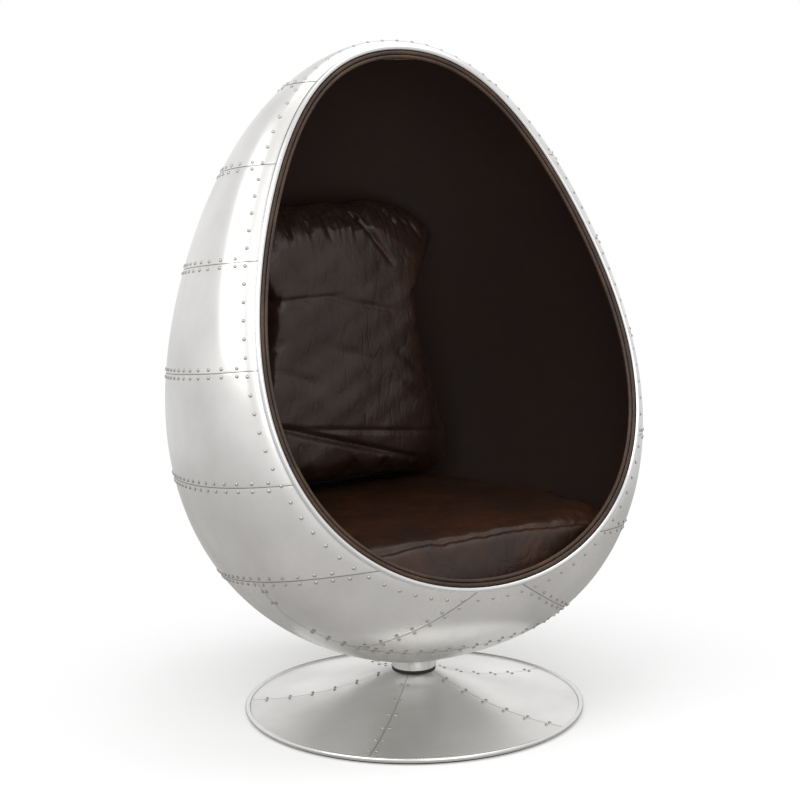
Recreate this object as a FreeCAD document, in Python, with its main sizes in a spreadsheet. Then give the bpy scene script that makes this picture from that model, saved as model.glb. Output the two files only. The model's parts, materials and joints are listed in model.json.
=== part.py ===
import FreeCAD, Part
import math
import os

import Sketcher
from FreeCAD import Placement, Rotation, Vector

# Swivel armchair: an egg-shaped pod of riveted aluminium sheet on a flared round base.
# Millimetres, +Z up. The origin is on the floor on the swivel axis, and the chair opens towards -Y.

os.makedirs("parts", exist_ok=True)
doc = FreeCAD.newDocument("swivel_pod_chair")

# Driving dimensions: name, value, meaning. Angles are in degrees.
DRIVING_SIZES = [
    ("pod_length", 1078.8, "egg along its own leaning axis"),
    ("pod_width", 876.5, "widest ring of the egg, side to side"),
    ("pod_lift", 43.45, "bottom tip of the egg above the neck of the base"),
    ("pod_forward", 83.7, "bottom tip of the egg in front of the swivel axis"),
    ("pod_lean", 7.25, "egg axis leaning back"),
    ("belly_shift", 5.7, "middle rings moved forward"),
    ("shoulder_shift", 28.3, "upper rings moved back and lower rings forward"),
    ("opening_tilt", 18.48, "opening plane leaning back"),
    ("opening_reach", 323.65, "opening plane from the middle of the neck"),
    ("skin_sheet", 1.2, "aluminium sheet"),
    ("curved_gap", 0.3, "clearance between curved faces"),
    ("shell_wall", 6.0, "moulded shell"),
    ("shell_bowl_height", 265.0, "top of the shell's bowl along the egg axis"),
    ("shell_crown_height", 940.0, "foot of the shell's crown along the egg axis"),
    ("foam_wall", 9.8, "foam on the inside of the shell"),
    ("foam_top_height", 1039.0, "top of the foam along the egg axis, with leather alone over the crown"),
    ("leather_wall", 2.2, "leather over the foam"),
    ("skin_setback", 4.3, "sheet edge behind the opening plane"),
    ("wall_setback", 5.8, "shell and lining edge behind the opening plane"),
    ("panel_gap", 0.8, "joint between two sheets"),
    ("trim_radius", 4.5, "rolled lip round the opening"),
    ("trim_outset", 3.0, "lip centre outside the edge of the opening"),
    ("piping_radius", 3.4, "leather piping"),
    ("piping_gap", 0.35, "between lip and piping, and between the two pipings"),
    ("piping_drop", 1.0, "each piping behind the one outside it"),
    ("seam_height_one", 189.5, "lowest ring seam along the egg axis"),
    ("low_seam_lean", 11.0, "lowest ring seam dropping backwards"),
    ("seam_height_two", 355.0, "second ring seam"),
    ("seam_height_three", 538.5, "third ring seam"),
    ("seam_height_four", 712.0, "fourth ring seam"),
    ("seam_height_five", 868.0, "fifth ring seam"),
    ("seam_height_six", 1004.0, "highest ring seam"),
    ("chin_seam_forward", 195.0, "chin seam in front of the axis at its low point"),
    ("chin_seam_height", 88.75, "low point of the chin seam above the neck"),
    ("side_seam_forward", 95.0, "side seam in front of the axis where it meets the lowest ring"),
    ("side_seam_height", 235.75, "upper end of the side seam above the neck"),
    ("keel_seam_height", 317.15, "where the keel seam planes cross the axis above the neck"),
    ("rivet_radius", 3.2, "rivet head"),
    ("rivet_crown", 1.7, "rivet head above the sheet"),
    ("rivet_seat", 0.25, "under a rivet head"),
    ("rivet_pitch", 28.0, "along a seam"),
    ("rivet_row_gap", 13.0, "between the two rows of a seam"),
    ("rivet_room", 0.8, "least room between a seam's rivet head and one along the opening"),
    ("rim_rivet_pitch", 30.3, "along the opening"),
    ("rim_rivet_depth", 13.5, "rim rivets behind the opening plane"),
    ("base_radius", 305.0, "round base over its rolled edge"),
    ("base_edge_height", 8.2, "sheet of the base at its edge"),
    ("base_flare_radius", 610.0, "hollow curve of the base"),
    ("base_neck_radius", 39.0, "sheet of the base at its neck"),
    ("base_bead_radius", 4.5, "rolled edge of the base"),
    ("base_cone_wall", 3.0, "pressed steel under the sheet"),
    ("base_cone_neck", 33.6, "hole in the top of the pressed steel"),
    ("base_foot_wall", 2.5, "turned-in foot of the pressed steel"),
    ("base_foot_width", 120.0, "turned-in foot from the edge inwards"),
    ("floor_pad_height", 3.0, "rubber ring on the floor"),
    ("floor_pad_width", 70.0, "rubber ring, edge to edge"),
    ("floor_pad_inset", 8.0, "rubber ring inside the edge of the base"),
    ("ballast_radius", 186.0, "steel plate in the base"),
    ("ballast_height", 9.0, "steel plate in the base"),
    ("base_rivet_pitch", 44.0, "along a seam of the base"),
    ("pin_radius", 17.5, "swivel pin"),
    ("pin_thread_radius", 12.0, "threaded end of the pin"),
    ("pin_thread_length", 19.0, "threaded end of the pin"),
    ("press_gap", 0.04, "pressed fits"),
    ("running_gap", 0.05, "running fits"),
    ("spindle_wall", 8.0, "steel tube that holds the pin"),
    ("spindle_flange_radius", 60.0, "foot of the tube"),
    ("spindle_flange_height", 6.0, "foot of the tube"),
    ("spindle_bolt_ring", 46.0, "bolt circle of the foot"),
    ("race_radius", 33.0, "thrust bearing, outside"),
    ("race_bore", 18.5, "thrust bearing, inside"),
    ("race_height", 3.5, "one race"),
    ("ball_radius", 3.0, "bearing ball"),
    ("ball_ring", 26.0, "ball circle"),
    ("cage_height", 2.0, "ball cage"),
    ("cage_rim", 4.2, "cage beside the ball circle"),
    ("seal_height", 5.4, "black ring in the neck"),
    ("seal_wall", 3.8, "black ring in the neck"),
    ("bush_wall", 4.0, "bronze bush"),
    ("bush_height", 24.0, "bronze bush"),
    ("hub_wall", 5.4, "hub tube"),
    ("hub_flange_radius", 44.0, "flange under the pod"),
    ("hub_flange_height", 6.0, "flange under the pod"),
    ("hub_flange_level", 22.75, "underside of the flange above the neck"),
    ("hub_top_level", 78.75, "top of the hub tube above the neck"),
    ("hub_bolt_ring", 35.0, "bolt circle of the hub"),
    ("spreader_radius", 95.0, "plywood disc inside the pod"),
    ("spreader_level", 60.75, "top of the plywood disc above the neck"),
    ("hub_plate_radius", 88.0, "steel plate on the plywood disc"),
    ("hub_plate_height", 6.0, "steel plate on the plywood disc"),
    ("collar_foot_radius", 39.0, "neck collar at its foot"),
    ("collar_top_radius", 72.0, "neck collar profile, upper end"),
    ("collar_top_level", 44.75, "upper end of the neck collar profile above the neck"),
    ("collar_flare_radius", 60.0, "hollow curve of the collar"),
    ("collar_wall", 1.6, "neck collar"),
    ("washer_radius", 25.0, "washer under the pin nut"),
    ("washer_height", 3.0, "washer under the pin nut"),
    ("nut_radius", 19.0, "pin nut over its corners"),
    ("nut_height", 11.0, "pin nut"),
    ("bolt_radius", 3.0, "clamp bolts"),
    ("bolt_head_radius", 5.7, "clamp bolt heads and nuts over their corners"),
    ("bolt_head_height", 4.0, "clamp bolt heads and nuts"),
    ("bolt_hole_gap", 0.3, "round a bolt in its hole"),
    ("board_radius", 215.0, "plywood seat board"),
    ("board_height", 12.0, "plywood seat board"),
    ("board_level", 170.75, "top of the seat board above the neck"),
    ("board_back", 25.0, "centre of the seat board behind the axis"),
    ("block_side", 50.0, "wooden blocks under the board"),
    ("block_ring", 150.0, "block circle"),
    ("screw_radius", 2.5, "board screws"),
    ("screw_length", 42.0, "board screws"),
    ("screw_head_radius", 5.5, "board screws"),
    ("screw_head_height", 3.0, "board screws"),
    ("lining_foot_level", 146.75, "lower edge of the lining above the neck"),
    ("soft_gap", 0.4, "beside a soft piece"),
    ("seat_level", 282.75, "top of the seat cushion above the neck"),
    ("seat_setback", 30.0, "front of the seat cushion behind the opening plane"),
    ("seat_rear", 330.0, "rear of the seat cushion behind the axis"),
    ("back_width", 452.0, "back cushion"),
    ("back_front", 196.0, "front of the back cushion at the seat, behind the axis"),
    ("back_rear", 330.0, "rear of the back cushion at the seat, behind the axis"),
    ("back_top_level", 835.75, "top of the back cushion above the neck"),
    ("back_lean", 3.0, "back cushion leaning back"),
    ("back_round", 38.0, "edges of the back cushion"),
]

sheet = doc.addObject("Spreadsheet::Sheet", "sizes")
for row, (alias, value, meaning) in enumerate(DRIVING_SIZES, start=1):
    sheet.set(f"A{row}", meaning)
    sheet.set(f"B{row}", str(value))
    sheet.setAlias(f"B{row}", alias)
doc.recompute()


class Size:
    """A length with the sheet formula that it comes from."""

    def __init__(self, value, formula):
        self.value = value
        self.formula = formula

    def __add__(self, other):
        return Size(self.value + other.value, f"({self.formula} + {other.formula})")

    def __sub__(self, other):
        return Size(self.value - other.value, f"({self.formula} - {other.formula})")

    def __mul__(self, factor):
        return Size(self.value * factor, f"({self.formula} * {factor})")

    def __truediv__(self, factor):
        return Size(self.value / factor, f"({self.formula} / {factor})")

    def __neg__(self):
        return Size(-self.value, f"(-1 * {self.formula})")

    def times(self, other):
        return Size(self.value * other.value, f"({self.formula} * {other.formula})")

    def root(self):
        return Size(math.sqrt(self.value), f"sqrt({self.formula})")


def size(alias):
    return Size(float(getattr(sheet, alias)), f"sizes.{alias}")


def mm(alias):
    return float(getattr(sheet, alias))


ZERO = Size(0.0, "0")
finished = []


def finish(piece, label):
    """Name a finished sub-part, so that it is checked and written."""
    piece.Label = label
    finished.append(piece)
    return piece


# Bodies made from sketches

def origin_plane(body, role):
    return next(f for f in body.Origin.OriginFeatures if f.Role == role)


def pin_corner(sketch, geometry, point, across, up):
    """Tie one point of a sketch to the sheet, or to an axis where a place is zero."""
    for kind, axis, place in (("DistanceX", -2, across), ("DistanceY", -1, up)):
        if place is ZERO:
            sketch.addConstraint(Sketcher.Constraint("PointOnObject", geometry, point, axis))
        else:
            rule = Sketcher.Constraint(kind, -1, 1, geometry, point, place.value)
            index = sketch.addConstraint(rule)
            sketch.setExpression(f"Constraints[{index}]", place.formula)


def arc_between(first, last, radius, bulge):
    """Arc from first to last; bulge is +1 or -1 for the side that it bows to."""
    chord = last - first
    middle = first + chord * 0.5
    side = Vector(-chord.y, chord.x, 0).normalize() * bulge
    sagitta = radius - math.sqrt(radius ** 2 - (chord.Length / 2) ** 2)
    return Part.Arc(first, middle + side * sagitta, last)


def outline_sketch(body, name, outline, plane):
    """Closed outline of (across, up) corners; a third and fourth entry make the next edge an arc."""
    sketch = body.newObject("Sketcher::SketchObject", name)
    sketch.AttachmentSupport = [(origin_plane(body, plane), "")]
    sketch.MapMode = "FlatFace"
    corners = [Vector(corner[0].value, corner[1].value, 0) for corner in outline]
    starts = []
    for index, corner in enumerate(outline):
        first, last = corners[index], corners[(index + 1) % len(corners)]
        if len(corner) == 2:
            sketch.addGeometry(Part.LineSegment(first, last), False)
            starts.append(1)
        else:
            sketch.addGeometry(arc_between(first, last, corner[2].value, corner[3]), False)
            to_first = sketch.getPoint(index, 1).distanceToPoint(first)
            starts.append(1 if to_first < sketch.getPoint(index, 2).distanceToPoint(first) else 2)
    for index in range(len(outline)):
        before = index - 1 if index else len(outline) - 1
        end_before = 3 - starts[before]
        sketch.addConstraint(Sketcher.Constraint("Coincident", before, end_before, index, starts[index]))
    for index, corner in enumerate(outline):
        pin_corner(sketch, index, starts[index], corner[0], corner[1])
        if len(corner) > 2:
            rule = sketch.addConstraint(Sketcher.Constraint("Radius", index, corner[2].value))
            sketch.setExpression(f"Constraints[{rule}]", corner[2].formula)
    return sketch


def turned(name, outline, sweep=None):
    """Body revolved about Z from an outline of (radius, height)."""
    body = doc.addObject("PartDesign::Body", name)
    sketch = outline_sketch(body, name + "_outline", outline, "XZ_Plane")
    turn = body.newObject("PartDesign::Revolution", name + "_turn")
    turn.Profile = sketch
    turn.ReferenceAxis = (sketch, ["V_Axis"])
    turn.Angle = sweep if sweep else 360.0
    body.Tip = turn
    doc.recompute()
    return body


def ring_outline(inner, outer, low, high):
    return [(inner, low), (outer, low), (outer, high), (inner, high)]


def drill_ring(body, circle_radius, hole_radius, count):
    """Holes parallel to Z, evenly round a circle, through the whole body."""
    sketch = body.newObject("Sketcher::SketchObject", body.Name + "_hole")
    sketch.AttachmentSupport = [(origin_plane(body, "XY_Plane"), "")]
    sketch.MapMode = "FlatFace"
    centre = Vector(circle_radius.value, 0, 0)
    sketch.addGeometry(Part.Circle(centre, Vector(0, 0, 1), hole_radius.value), False)
    rule = sketch.addConstraint(Sketcher.Constraint("Radius", 0, hole_radius.value))
    sketch.setExpression(f"Constraints[{rule}]", hole_radius.formula)
    pin_corner(sketch, 0, 3, circle_radius, ZERO)
    pocket = body.newObject("PartDesign::Pocket", body.Name + "_drilling")
    pocket.Profile = sketch
    pocket.Type = "ThroughAll"
    pocket.Midplane = True
    doc.recompute()
    pattern = body.newObject("PartDesign::PolarPattern", body.Name + "_holes")
    pattern.Originals = [pocket]
    pattern.Axis = (sketch, ["N_Axis"])
    pattern.Angle = 360.0
    pattern.Occurrences = count
    body.Tip = pattern
    doc.recompute()
    return body


# Primitives bound to the sheet

def bind(piece, **rules):
    """Tie properties and placement parts to the sheet; an underscore stands for a dot."""
    for name, rule in rules.items():
        piece.setExpression(name.replace("_", "."), rule.formula)
    return piece


def rod(name, radius, height, x, y, z):
    piece = doc.addObject("Part::Cylinder", name)
    bind(piece, Radius=radius, Height=height)
    return bind(piece, Placement_Base_x=x, Placement_Base_y=y, Placement_Base_z=z)


def hexagon(name, corner_radius, height, x, y, z):
    piece = doc.addObject("Part::Prism", name)
    piece.Polygon = 6
    bind(piece, Circumradius=corner_radius, Height=height)
    return bind(piece, Placement_Base_x=x, Placement_Base_y=y, Placement_Base_z=z)


def joined(name, *pieces):
    piece = doc.addObject("Part::MultiFuse", name)
    piece.Shapes = list(pieces)
    return piece


def removed(name, base, tool):
    piece = doc.addObject("Part::Cut", name)
    piece.Base = base
    piece.Tool = tool
    return piece


def grouped(name, pieces):
    piece = doc.addObject("Part::Compound", name)
    piece.Links = list(pieces)
    return piece


def ring_places(ring, count, start=0.0):
    """Places evenly round the swivel axis, as lengths tied to the sheet."""
    for index in range(count):
        angle = math.radians(start + 360.0 * index / count)
        yield index + 1, ring * round(math.cos(angle), 9), ring * round(math.sin(angle), 9)


def bolt_ring(name, ring, count, underside, shank_length):
    """Hexagon bolts round the axis, heads up, as one group."""
    bolts = []
    for number, x, y in ring_places(ring, count):
        label = f"{name}_{number}"
        head = hexagon(label + "_head", size("bolt_head_radius"), size("bolt_head_height"), x, y, underside)
        shank = rod(label + "_shank", size("bolt_radius"), shank_length, x, y, underside - shank_length)
        bolts.append(joined(label, head, shank))
    return grouped(name, bolts)


# Base: levels that stack from the floor up

pad_top = size("floor_pad_height")
foot_top = pad_top + size("base_foot_wall")
ballast_top = foot_top + size("ballast_height")
flange_top = ballast_top + size("spindle_flange_height")
skin_gap = size("skin_sheet") + size("curved_gap")


def flare_height(radius, under):
    """Height of the hollow base curve at a radius, the given distance under the sheet's face."""
    reach = size("base_flare_radius") + under
    run = size("base_radius") - radius
    centre = size("base_edge_height") + size("base_flare_radius")
    return centre - (reach.times(reach) - run.times(run)).root()


sheet_edge = size("base_radius") - size("base_bead_radius") * 2 - size("curved_gap")
neck_level = flare_height(size("base_neck_radius"), ZERO)
race_low = neck_level - size("race_height")
race_top = race_low + size("race_height")
ball_level = race_top + size("running_gap") + size("ball_radius")
race_high = ball_level + size("ball_radius") + size("running_gap")
hub_foot = race_high + size("race_height")
seal_foot = neck_level + size("curved_gap")
collar_foot = seal_foot + size("seal_height") + size("curved_gap")


def raised(alias):
    """Height above the floor of a size that is measured from the top of the neck."""
    return neck_level + size(alias)



pad_outer = size("base_radius") - size("floor_pad_inset")
floor_pad = turned("floor_pad", ring_outline(pad_outer - size("floor_pad_width"), pad_outer, ZERO, pad_top))
finish(floor_pad, "floor_pad")

cone_outer = skin_gap
cone_inner = skin_gap + size("base_cone_wall")
foot_inner = sheet_edge - size("base_foot_width")
cone_reach_outer = size("base_flare_radius") + cone_outer
cone_reach_inner = size("base_flare_radius") + cone_inner
foot_depth = foot_top - size("base_edge_height") - size("base_flare_radius")
foot_run = (cone_reach_inner.times(cone_reach_inner) - foot_depth.times(foot_depth)).root()
foot_meet = size("base_radius") - foot_run
cone_neck = size("base_neck_radius") - skin_gap
cone_neck_top = flare_height(cone_neck, cone_outer)
cone_inner_top = flare_height(size("base_cone_neck"), cone_inner)
base_cone = turned("base_cone", [
    (size("base_cone_neck"), cone_inner_top),
    (size("base_cone_neck"), cone_neck_top),
    (cone_neck, cone_neck_top, cone_reach_outer, -1),
    (sheet_edge, flare_height(sheet_edge, cone_outer)),
    (sheet_edge, pad_top),
    (foot_inner, pad_top),
    (foot_inner, foot_top),
    (foot_meet, foot_top, cone_reach_inner, 1),
])
finish(base_cone, "base_cone")

# The five sheets of the base differ a little in width, as hand-cut sheets do.
BASE_SEAM_DEGREES = (4.0, 76.0, 145.0, 222.0, 297.0)
sheet_under = size("skin_sheet")
sheet_reach = size("base_flare_radius") + sheet_under
for number, start in enumerate(BASE_SEAM_DEGREES):
    stop = BASE_SEAM_DEGREES[(number + 1) % len(BASE_SEAM_DEGREES)]
    gap_degrees = math.degrees(mm("panel_gap") / sheet_edge.value)
    panel = turned(f"base_sheet_{number + 1}", [
        (size("base_neck_radius"), flare_height(size("base_neck_radius"), sheet_under)),
        (size("base_neck_radius"), neck_level, size("base_flare_radius"), -1),
        (sheet_edge, flare_height(sheet_edge, ZERO)),
        (sheet_edge, flare_height(sheet_edge, sheet_under), sheet_reach, 1),
    ], (stop - start) % 360.0 - gap_degrees)
    panel.Placement = Placement(Vector(), Rotation(Vector(0, 0, 1), start + gap_degrees / 2))
    finish(panel, f"base_sheet_{number + 1}")

base_bead = doc.addObject("Part::Torus", "base_bead")
bind(base_bead, Radius1=size("base_radius") - size("base_bead_radius"), Radius2=size("base_bead_radius"))
bind(base_bead, Placement_Base_z=pad_top + size("base_bead_radius"))
finish(base_bead, "base_bead")

spindle_bore = size("pin_radius") + size("press_gap")
spindle_outer = spindle_bore + size("spindle_wall")
spindle_tube = turned("spindle_tube", [
    (spindle_bore, ballast_top),
    (size("spindle_flange_radius"), ballast_top),
    (size("spindle_flange_radius"), flange_top),
    (spindle_outer, flange_top),
    (spindle_outer, race_low),
    (spindle_bore, race_low),
])
bolt_hole = size("bolt_radius") + size("bolt_hole_gap")
SPINDLE_BOLTS = 6
drill_ring(spindle_tube, size("spindle_bolt_ring"), bolt_hole, SPINDLE_BOLTS)
finish(spindle_tube, "spindle_tube")

ballast_plate = turned("ballast_plate", ring_outline(ZERO, size("ballast_radius"), foot_top, ballast_top))
drill_ring(ballast_plate, size("spindle_bolt_ring"), bolt_hole, SPINDLE_BOLTS)
finish(ballast_plate, "ballast_plate")

spindle_shank = size("ballast_height") + size("spindle_flange_height")
spindle_ring = size("spindle_bolt_ring")
finish(bolt_ring("spindle_bolts", spindle_ring, SPINDLE_BOLTS, flange_top, spindle_shank), "spindle_bolts")

hub_top = raised("hub_top_level")
washer_foot = hub_top + size("curved_gap")
nut_foot = washer_foot + size("washer_height")
pin_shoulder = nut_foot
pin_end = pin_shoulder + size("pin_thread_length")
pivot_pin = turned("pivot_pin", [
    (ZERO, ballast_top),
    (size("pin_radius"), ballast_top),
    (size("pin_radius"), washer_foot),
    (size("pin_thread_radius"), washer_foot),
    (size("pin_thread_radius"), pin_end),
    (ZERO, pin_end),
])
finish(pivot_pin, "pivot_pin")

lower_race = turned("lower_race", ring_outline(size("race_bore"), size("race_radius"), race_low, race_top))
finish(lower_race, "lower_race")

BALLS = 14
balls = []
pockets = []
cage_foot = ball_level - size("cage_height") / 2
for number, x, y in ring_places(size("ball_ring"), BALLS):
    ball = doc.addObject("Part::Sphere", f"ball_{number}")
    bind(ball, Radius=size("ball_radius"))
    bind(ball, Placement_Base_x=x, Placement_Base_y=y, Placement_Base_z=ball_level)
    balls.append(ball)
    pocket_radius = size("ball_radius") + size("running_gap") * 2
    pockets.append(rod(f"cage_pocket_{number}", pocket_radius, size("cage_height"), x, y, cage_foot))
finish(grouped("bearing_balls", balls), "bearing_balls")
cage_ring = turned("cage_ring", ring_outline(
    size("ball_ring") - size("cage_rim"), size("ball_ring") + size("cage_rim"),
    cage_foot, cage_foot + size("cage_height")))
ball_cage = removed("ball_cage", cage_ring, joined("cage_pockets", *pockets))
finish(ball_cage, "ball_cage")

neck_seal = turned("neck_seal", ring_outline(
    size("base_neck_radius") - size("seal_wall"), size("base_neck_radius") + size("curved_gap"),
    seal_foot, seal_foot + size("seal_height")))
finish(neck_seal, "neck_seal")

pin_washer = turned("pin_washer", ring_outline(
    size("pin_thread_radius") + size("press_gap"), size("washer_radius"), washer_foot, nut_foot))
finish(pin_washer, "pin_washer")

nut_blank = hexagon("pin_nut_blank", size("nut_radius"), size("nut_height"), ZERO, ZERO, nut_foot)
nut_bore_radius = size("pin_thread_radius") + size("press_gap")
nut_bore = rod("pin_nut_bore", nut_bore_radius, size("nut_height"), ZERO, ZERO, nut_foot)
finish(removed("pin_nut", nut_blank, nut_bore), "pin_nut")

# Hub of the pod, which turns on the pin

upper_race = turned("upper_race", ring_outline(size("race_bore"), size("race_radius"), race_high, hub_foot))
finish(upper_race, "upper_race")

bush_bore = size("pin_radius") + size("running_gap")
bush_outer = bush_bore + size("bush_wall")
bush_top = hub_foot + size("bush_height")
lower_bush = turned("lower_bush", ring_outline(bush_bore, bush_outer, hub_foot, bush_top))
finish(lower_bush, "lower_bush")
upper_bush = turned("upper_bush", ring_outline(bush_bore, bush_outer, hub_top - size("bush_height"), hub_top))
finish(upper_bush, "upper_bush")

hub_bore = bush_outer + size("press_gap")
hub_outer = hub_bore + size("hub_wall")
flange_foot = raised("hub_flange_level")
hub_flange_top = flange_foot + size("hub_flange_height")
pivot_hub = turned("pivot_hub", [
    (hub_bore, hub_foot),
    (hub_outer, hub_foot),
    (hub_outer, flange_foot),
    (size("hub_flange_radius"), flange_foot),
    (size("hub_flange_radius"), hub_flange_top),
    (hub_outer, hub_flange_top),
    (hub_outer, hub_top),
    (hub_bore, hub_top),
])
HUB_BOLTS = 6
drill_ring(pivot_hub, size("hub_bolt_ring"), bolt_hole, HUB_BOLTS)
finish(pivot_hub, "pivot_hub")

spreader_top = raised("spreader_level")
plate_top = spreader_top + size("hub_plate_height")
hub_hole = hub_outer + size("bolt_hole_gap")
hub_plate = turned("hub_plate", ring_outline(hub_hole, size("hub_plate_radius"), spreader_top, plate_top))
drill_ring(hub_plate, size("hub_bolt_ring"), bolt_hole, HUB_BOLTS)
finish(hub_plate, "hub_plate")

nut_level = flange_foot - size("bolt_head_height")
hub_shank = plate_top - nut_level
finish(bolt_ring("hub_bolts", size("hub_bolt_ring"), HUB_BOLTS, plate_top, hub_shank), "hub_bolts")
hub_nuts = []
for number, x, y in ring_places(size("hub_bolt_ring"), HUB_BOLTS):
    height = size("bolt_head_height")
    blank = hexagon(f"hub_nut_blank_{number}", size("bolt_head_radius"), height, x, y, nut_level)
    bore = rod(f"hub_nut_bore_{number}", size("bolt_radius") + size("press_gap"), height, x, y, nut_level)
    hub_nuts.append(removed(f"hub_nut_{number}", blank, bore))
finish(grouped("hub_nuts", hub_nuts), "hub_nuts")

# Egg of the pod. Rings square to its leaning axis are deep behind and flat in front, and change
# smoothly between the two. A share runs from -1 at the bottom tip to 1 at the top tip.

TAPER_SHARES = (0.1433, -0.0062, -0.0755, -0.0692, 0.0861)
BACK_DEPTH_SHARES = (1.2574, -0.4305)
FRONT_DEPTH_SHARES = (0.3194, -0.1652)
BLEND_SHARE = 0.8
RING_COUNT = 18
RING_POINTS = 48
STEP_SHARE = 0.0005
END_SHARE = 0.99995
PEAK_STEPS = 1000

pod_tip = Vector(0, -mm("pod_forward"), raised("pod_lift").value)
pod_place = Placement(pod_tip, Rotation(Vector(1, 0, 0), -mm("pod_lean")))
tilt = math.radians(mm("opening_tilt"))
opening_normal = Vector(0, -math.cos(tilt), math.sin(tilt))
opening_up = Vector(0, math.sin(tilt), math.cos(tilt))
opening_reach = mm("opening_reach") + neck_level.value * opening_normal.z


def fullness(share):
    bend = sum(factor * share ** (power + 1) for power, factor in enumerate(TAPER_SHARES))
    return math.sqrt(max(0.0, 1.0 - share * share)) * math.exp(-bend)


PEAK = max(fullness(2.0 * index / PEAK_STEPS - 1.0) for index in range(PEAK_STEPS + 1))


def half_width(share):
    return mm("pod_width") / 2 * fullness(share) / PEAK


def ring_centre(share):
    crown = 1.0 - share * share
    return crown * (mm("shoulder_shift") * share - mm("belly_shift"))


def blend_ramp(turn):
    """Integral of a smooth step that rises from 0 to 1 while the turn goes from 0 to 1."""
    step = min(max(turn, 0.0), 1.0)
    return step ** 4 * (2.5 - 3.0 * step + step ** 2) + max(turn - 1.0, 0.0)


def ring_reach(share, sine):
    """Distance behind a ring's centre, for a sine from -1 in front to 1 behind."""
    front = FRONT_DEPTH_SHARES[0] + FRONT_DEPTH_SHARES[1] * share
    back = BACK_DEPTH_SHARES[0] + BACK_DEPTH_SHARES[1] * share
    spread = 2 * BLEND_SHARE
    ramp = blend_ramp(sine / spread + 0.5) - blend_ramp(0.5)
    return half_width(share) * (front * sine + (back - front) * spread * ramp)


def egg_point(share, angle):
    """Point on the outer face; the angle runs from +X over the back."""
    across = half_width(share) * math.cos(angle)
    back = ring_centre(share) + ring_reach(share, math.sin(angle))
    return Vector(across, back, (1.0 + share) / 2 * mm("pod_length"))


def egg_normal(share, angle):
    low, high = max(share - STEP_SHARE, -END_SHARE), min(share + STEP_SHARE, END_SHARE)
    along = egg_point(high, angle) - egg_point(low, angle)
    around = egg_point(share, angle + STEP_SHARE) - egg_point(share, angle - STEP_SHARE)
    return around.cross(along).normalize()


def egg_skin(share, angle, inset=0.0):
    """Point under the outer face by the inset, in the chair's frame."""
    return pod_place.multVec(egg_point(share, angle) - egg_normal(share, angle) * inset)


def egg_facing(share, angle):
    """Direction away from the outer face, in the chair's frame."""
    return pod_place.Rotation.multVec(egg_normal(share, angle))


def egg_solid(inset):
    """Solid of the egg with its face moved in, as a loft through rings between its two tips."""
    knots = [index / RING_POINTS for index in range(RING_POINTS + 1)]
    sections = [Part.Vertex(pod_place.multVec(Vector(0, 0, inset)))]
    for number in range(1, RING_COUNT):
        share = -math.cos(math.pi * number / RING_COUNT)
        points = [egg_skin(share, 2 * math.pi * knot, inset) for knot in knots[:-1]]
        ring = Part.BSplineCurve()
        ring.interpolate(Points=points, PeriodicFlag=True, Parameters=knots)
        sections.append(Part.Wire([ring.toShape()]))
    sections.append(Part.Vertex(pod_place.multVec(Vector(0, 0, mm("pod_length") - inset))))
    return Part.makeLoft(sections, True)


def egg_wall(outer_inset, inner_inset):
    """Closed hollow egg between two insets."""
    hollow = egg_solid(inner_inset).Shells[0]
    hollow.reverse()
    return Part.makeSolid(Part.makeCompound([egg_solid(outer_inset).Shells[0], hollow]))


def half_space(point, normal):
    """Block that fills the side of a plane that the normal points to."""
    reach = mm("pod_length") * 2
    block = Part.makeBox(2 * reach, 2 * reach, 2 * reach, Vector(-reach, -reach, 0))
    block.Placement = Placement(point, Rotation(Vector(0, 0, 1), normal))
    return block


def before_opening(depth):
    """Everything in front of a plane that lies behind the opening plane by the depth."""
    return half_space(opening_normal * (opening_reach - depth), opening_normal)


def seam_plane(height, lean):
    """Point and normal of a ring seam that crosses the egg's axis at a height along it."""
    angle = math.radians(lean)
    return pod_place.multVec(Vector(0, 0, height)), Vector(0, math.sin(angle), math.cos(angle))


def above(plane, margin):
    """Block on the side that a plane's normal points to, grown by the margin."""
    point, normal = plane
    return half_space(point - normal * margin, normal)


def under(plane, margin):
    """Block on the other side of a plane, grown by the margin."""
    point, normal = plane
    return half_space(point + normal * margin, -normal)


def shaped(name, shape):
    """Sub-part whose shape is worked out from the egg's formula."""
    piece = doc.addObject("Part::Feature", name)
    piece.Shape = shape
    return finish(piece, name)


def through_hole(radius):
    """Round tool on the swivel axis, from the floor to inside the pod."""
    return Part.makeCylinder(radius, hub_top.value)


def bolt_holes():
    """Tools for the clamp bolts and the hub tube."""
    tools = [through_hole(hub_hole.value)]
    for number, x, y in ring_places(size("hub_bolt_ring"), HUB_BOLTS):
        tools.append(Part.makeCylinder(bolt_hole.value, hub_top.value, Vector(x.value, y.value, 0)))
    return tools


# Clamp pieces and collar, cut to the underside and the inside of the egg

shell_outer = mm("skin_sheet") + mm("curved_gap")
shell_inner = shell_outer + mm("shell_wall")
foam_outer = shell_inner + mm("curved_gap")
foam_inner = foam_outer + mm("foam_wall")
leather_outer = foam_inner + mm("soft_gap")
lining_inner = leather_outer + mm("leather_wall")
soft_inset = lining_inner + mm("soft_gap")

egg_around = egg_solid(-mm("curved_gap"))
egg_room = egg_solid(shell_inner + mm("curved_gap"))
egg_soft = egg_solid(soft_inset)

pad_foot = Vector(0, 0, hub_flange_top.value)
pad_blank = Part.makeCylinder(mm("hub_flange_radius"), mm("hub_flange_radius"), pad_foot)
shaped("clamp_pad", pad_blank.cut(egg_around).cut(bolt_holes()))

spreader_blank = Part.makeCylinder(mm("spreader_radius"), raised("spreader_level").value)
shaped("hub_spreader", spreader_blank.common(egg_room).cut(bolt_holes()))

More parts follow.
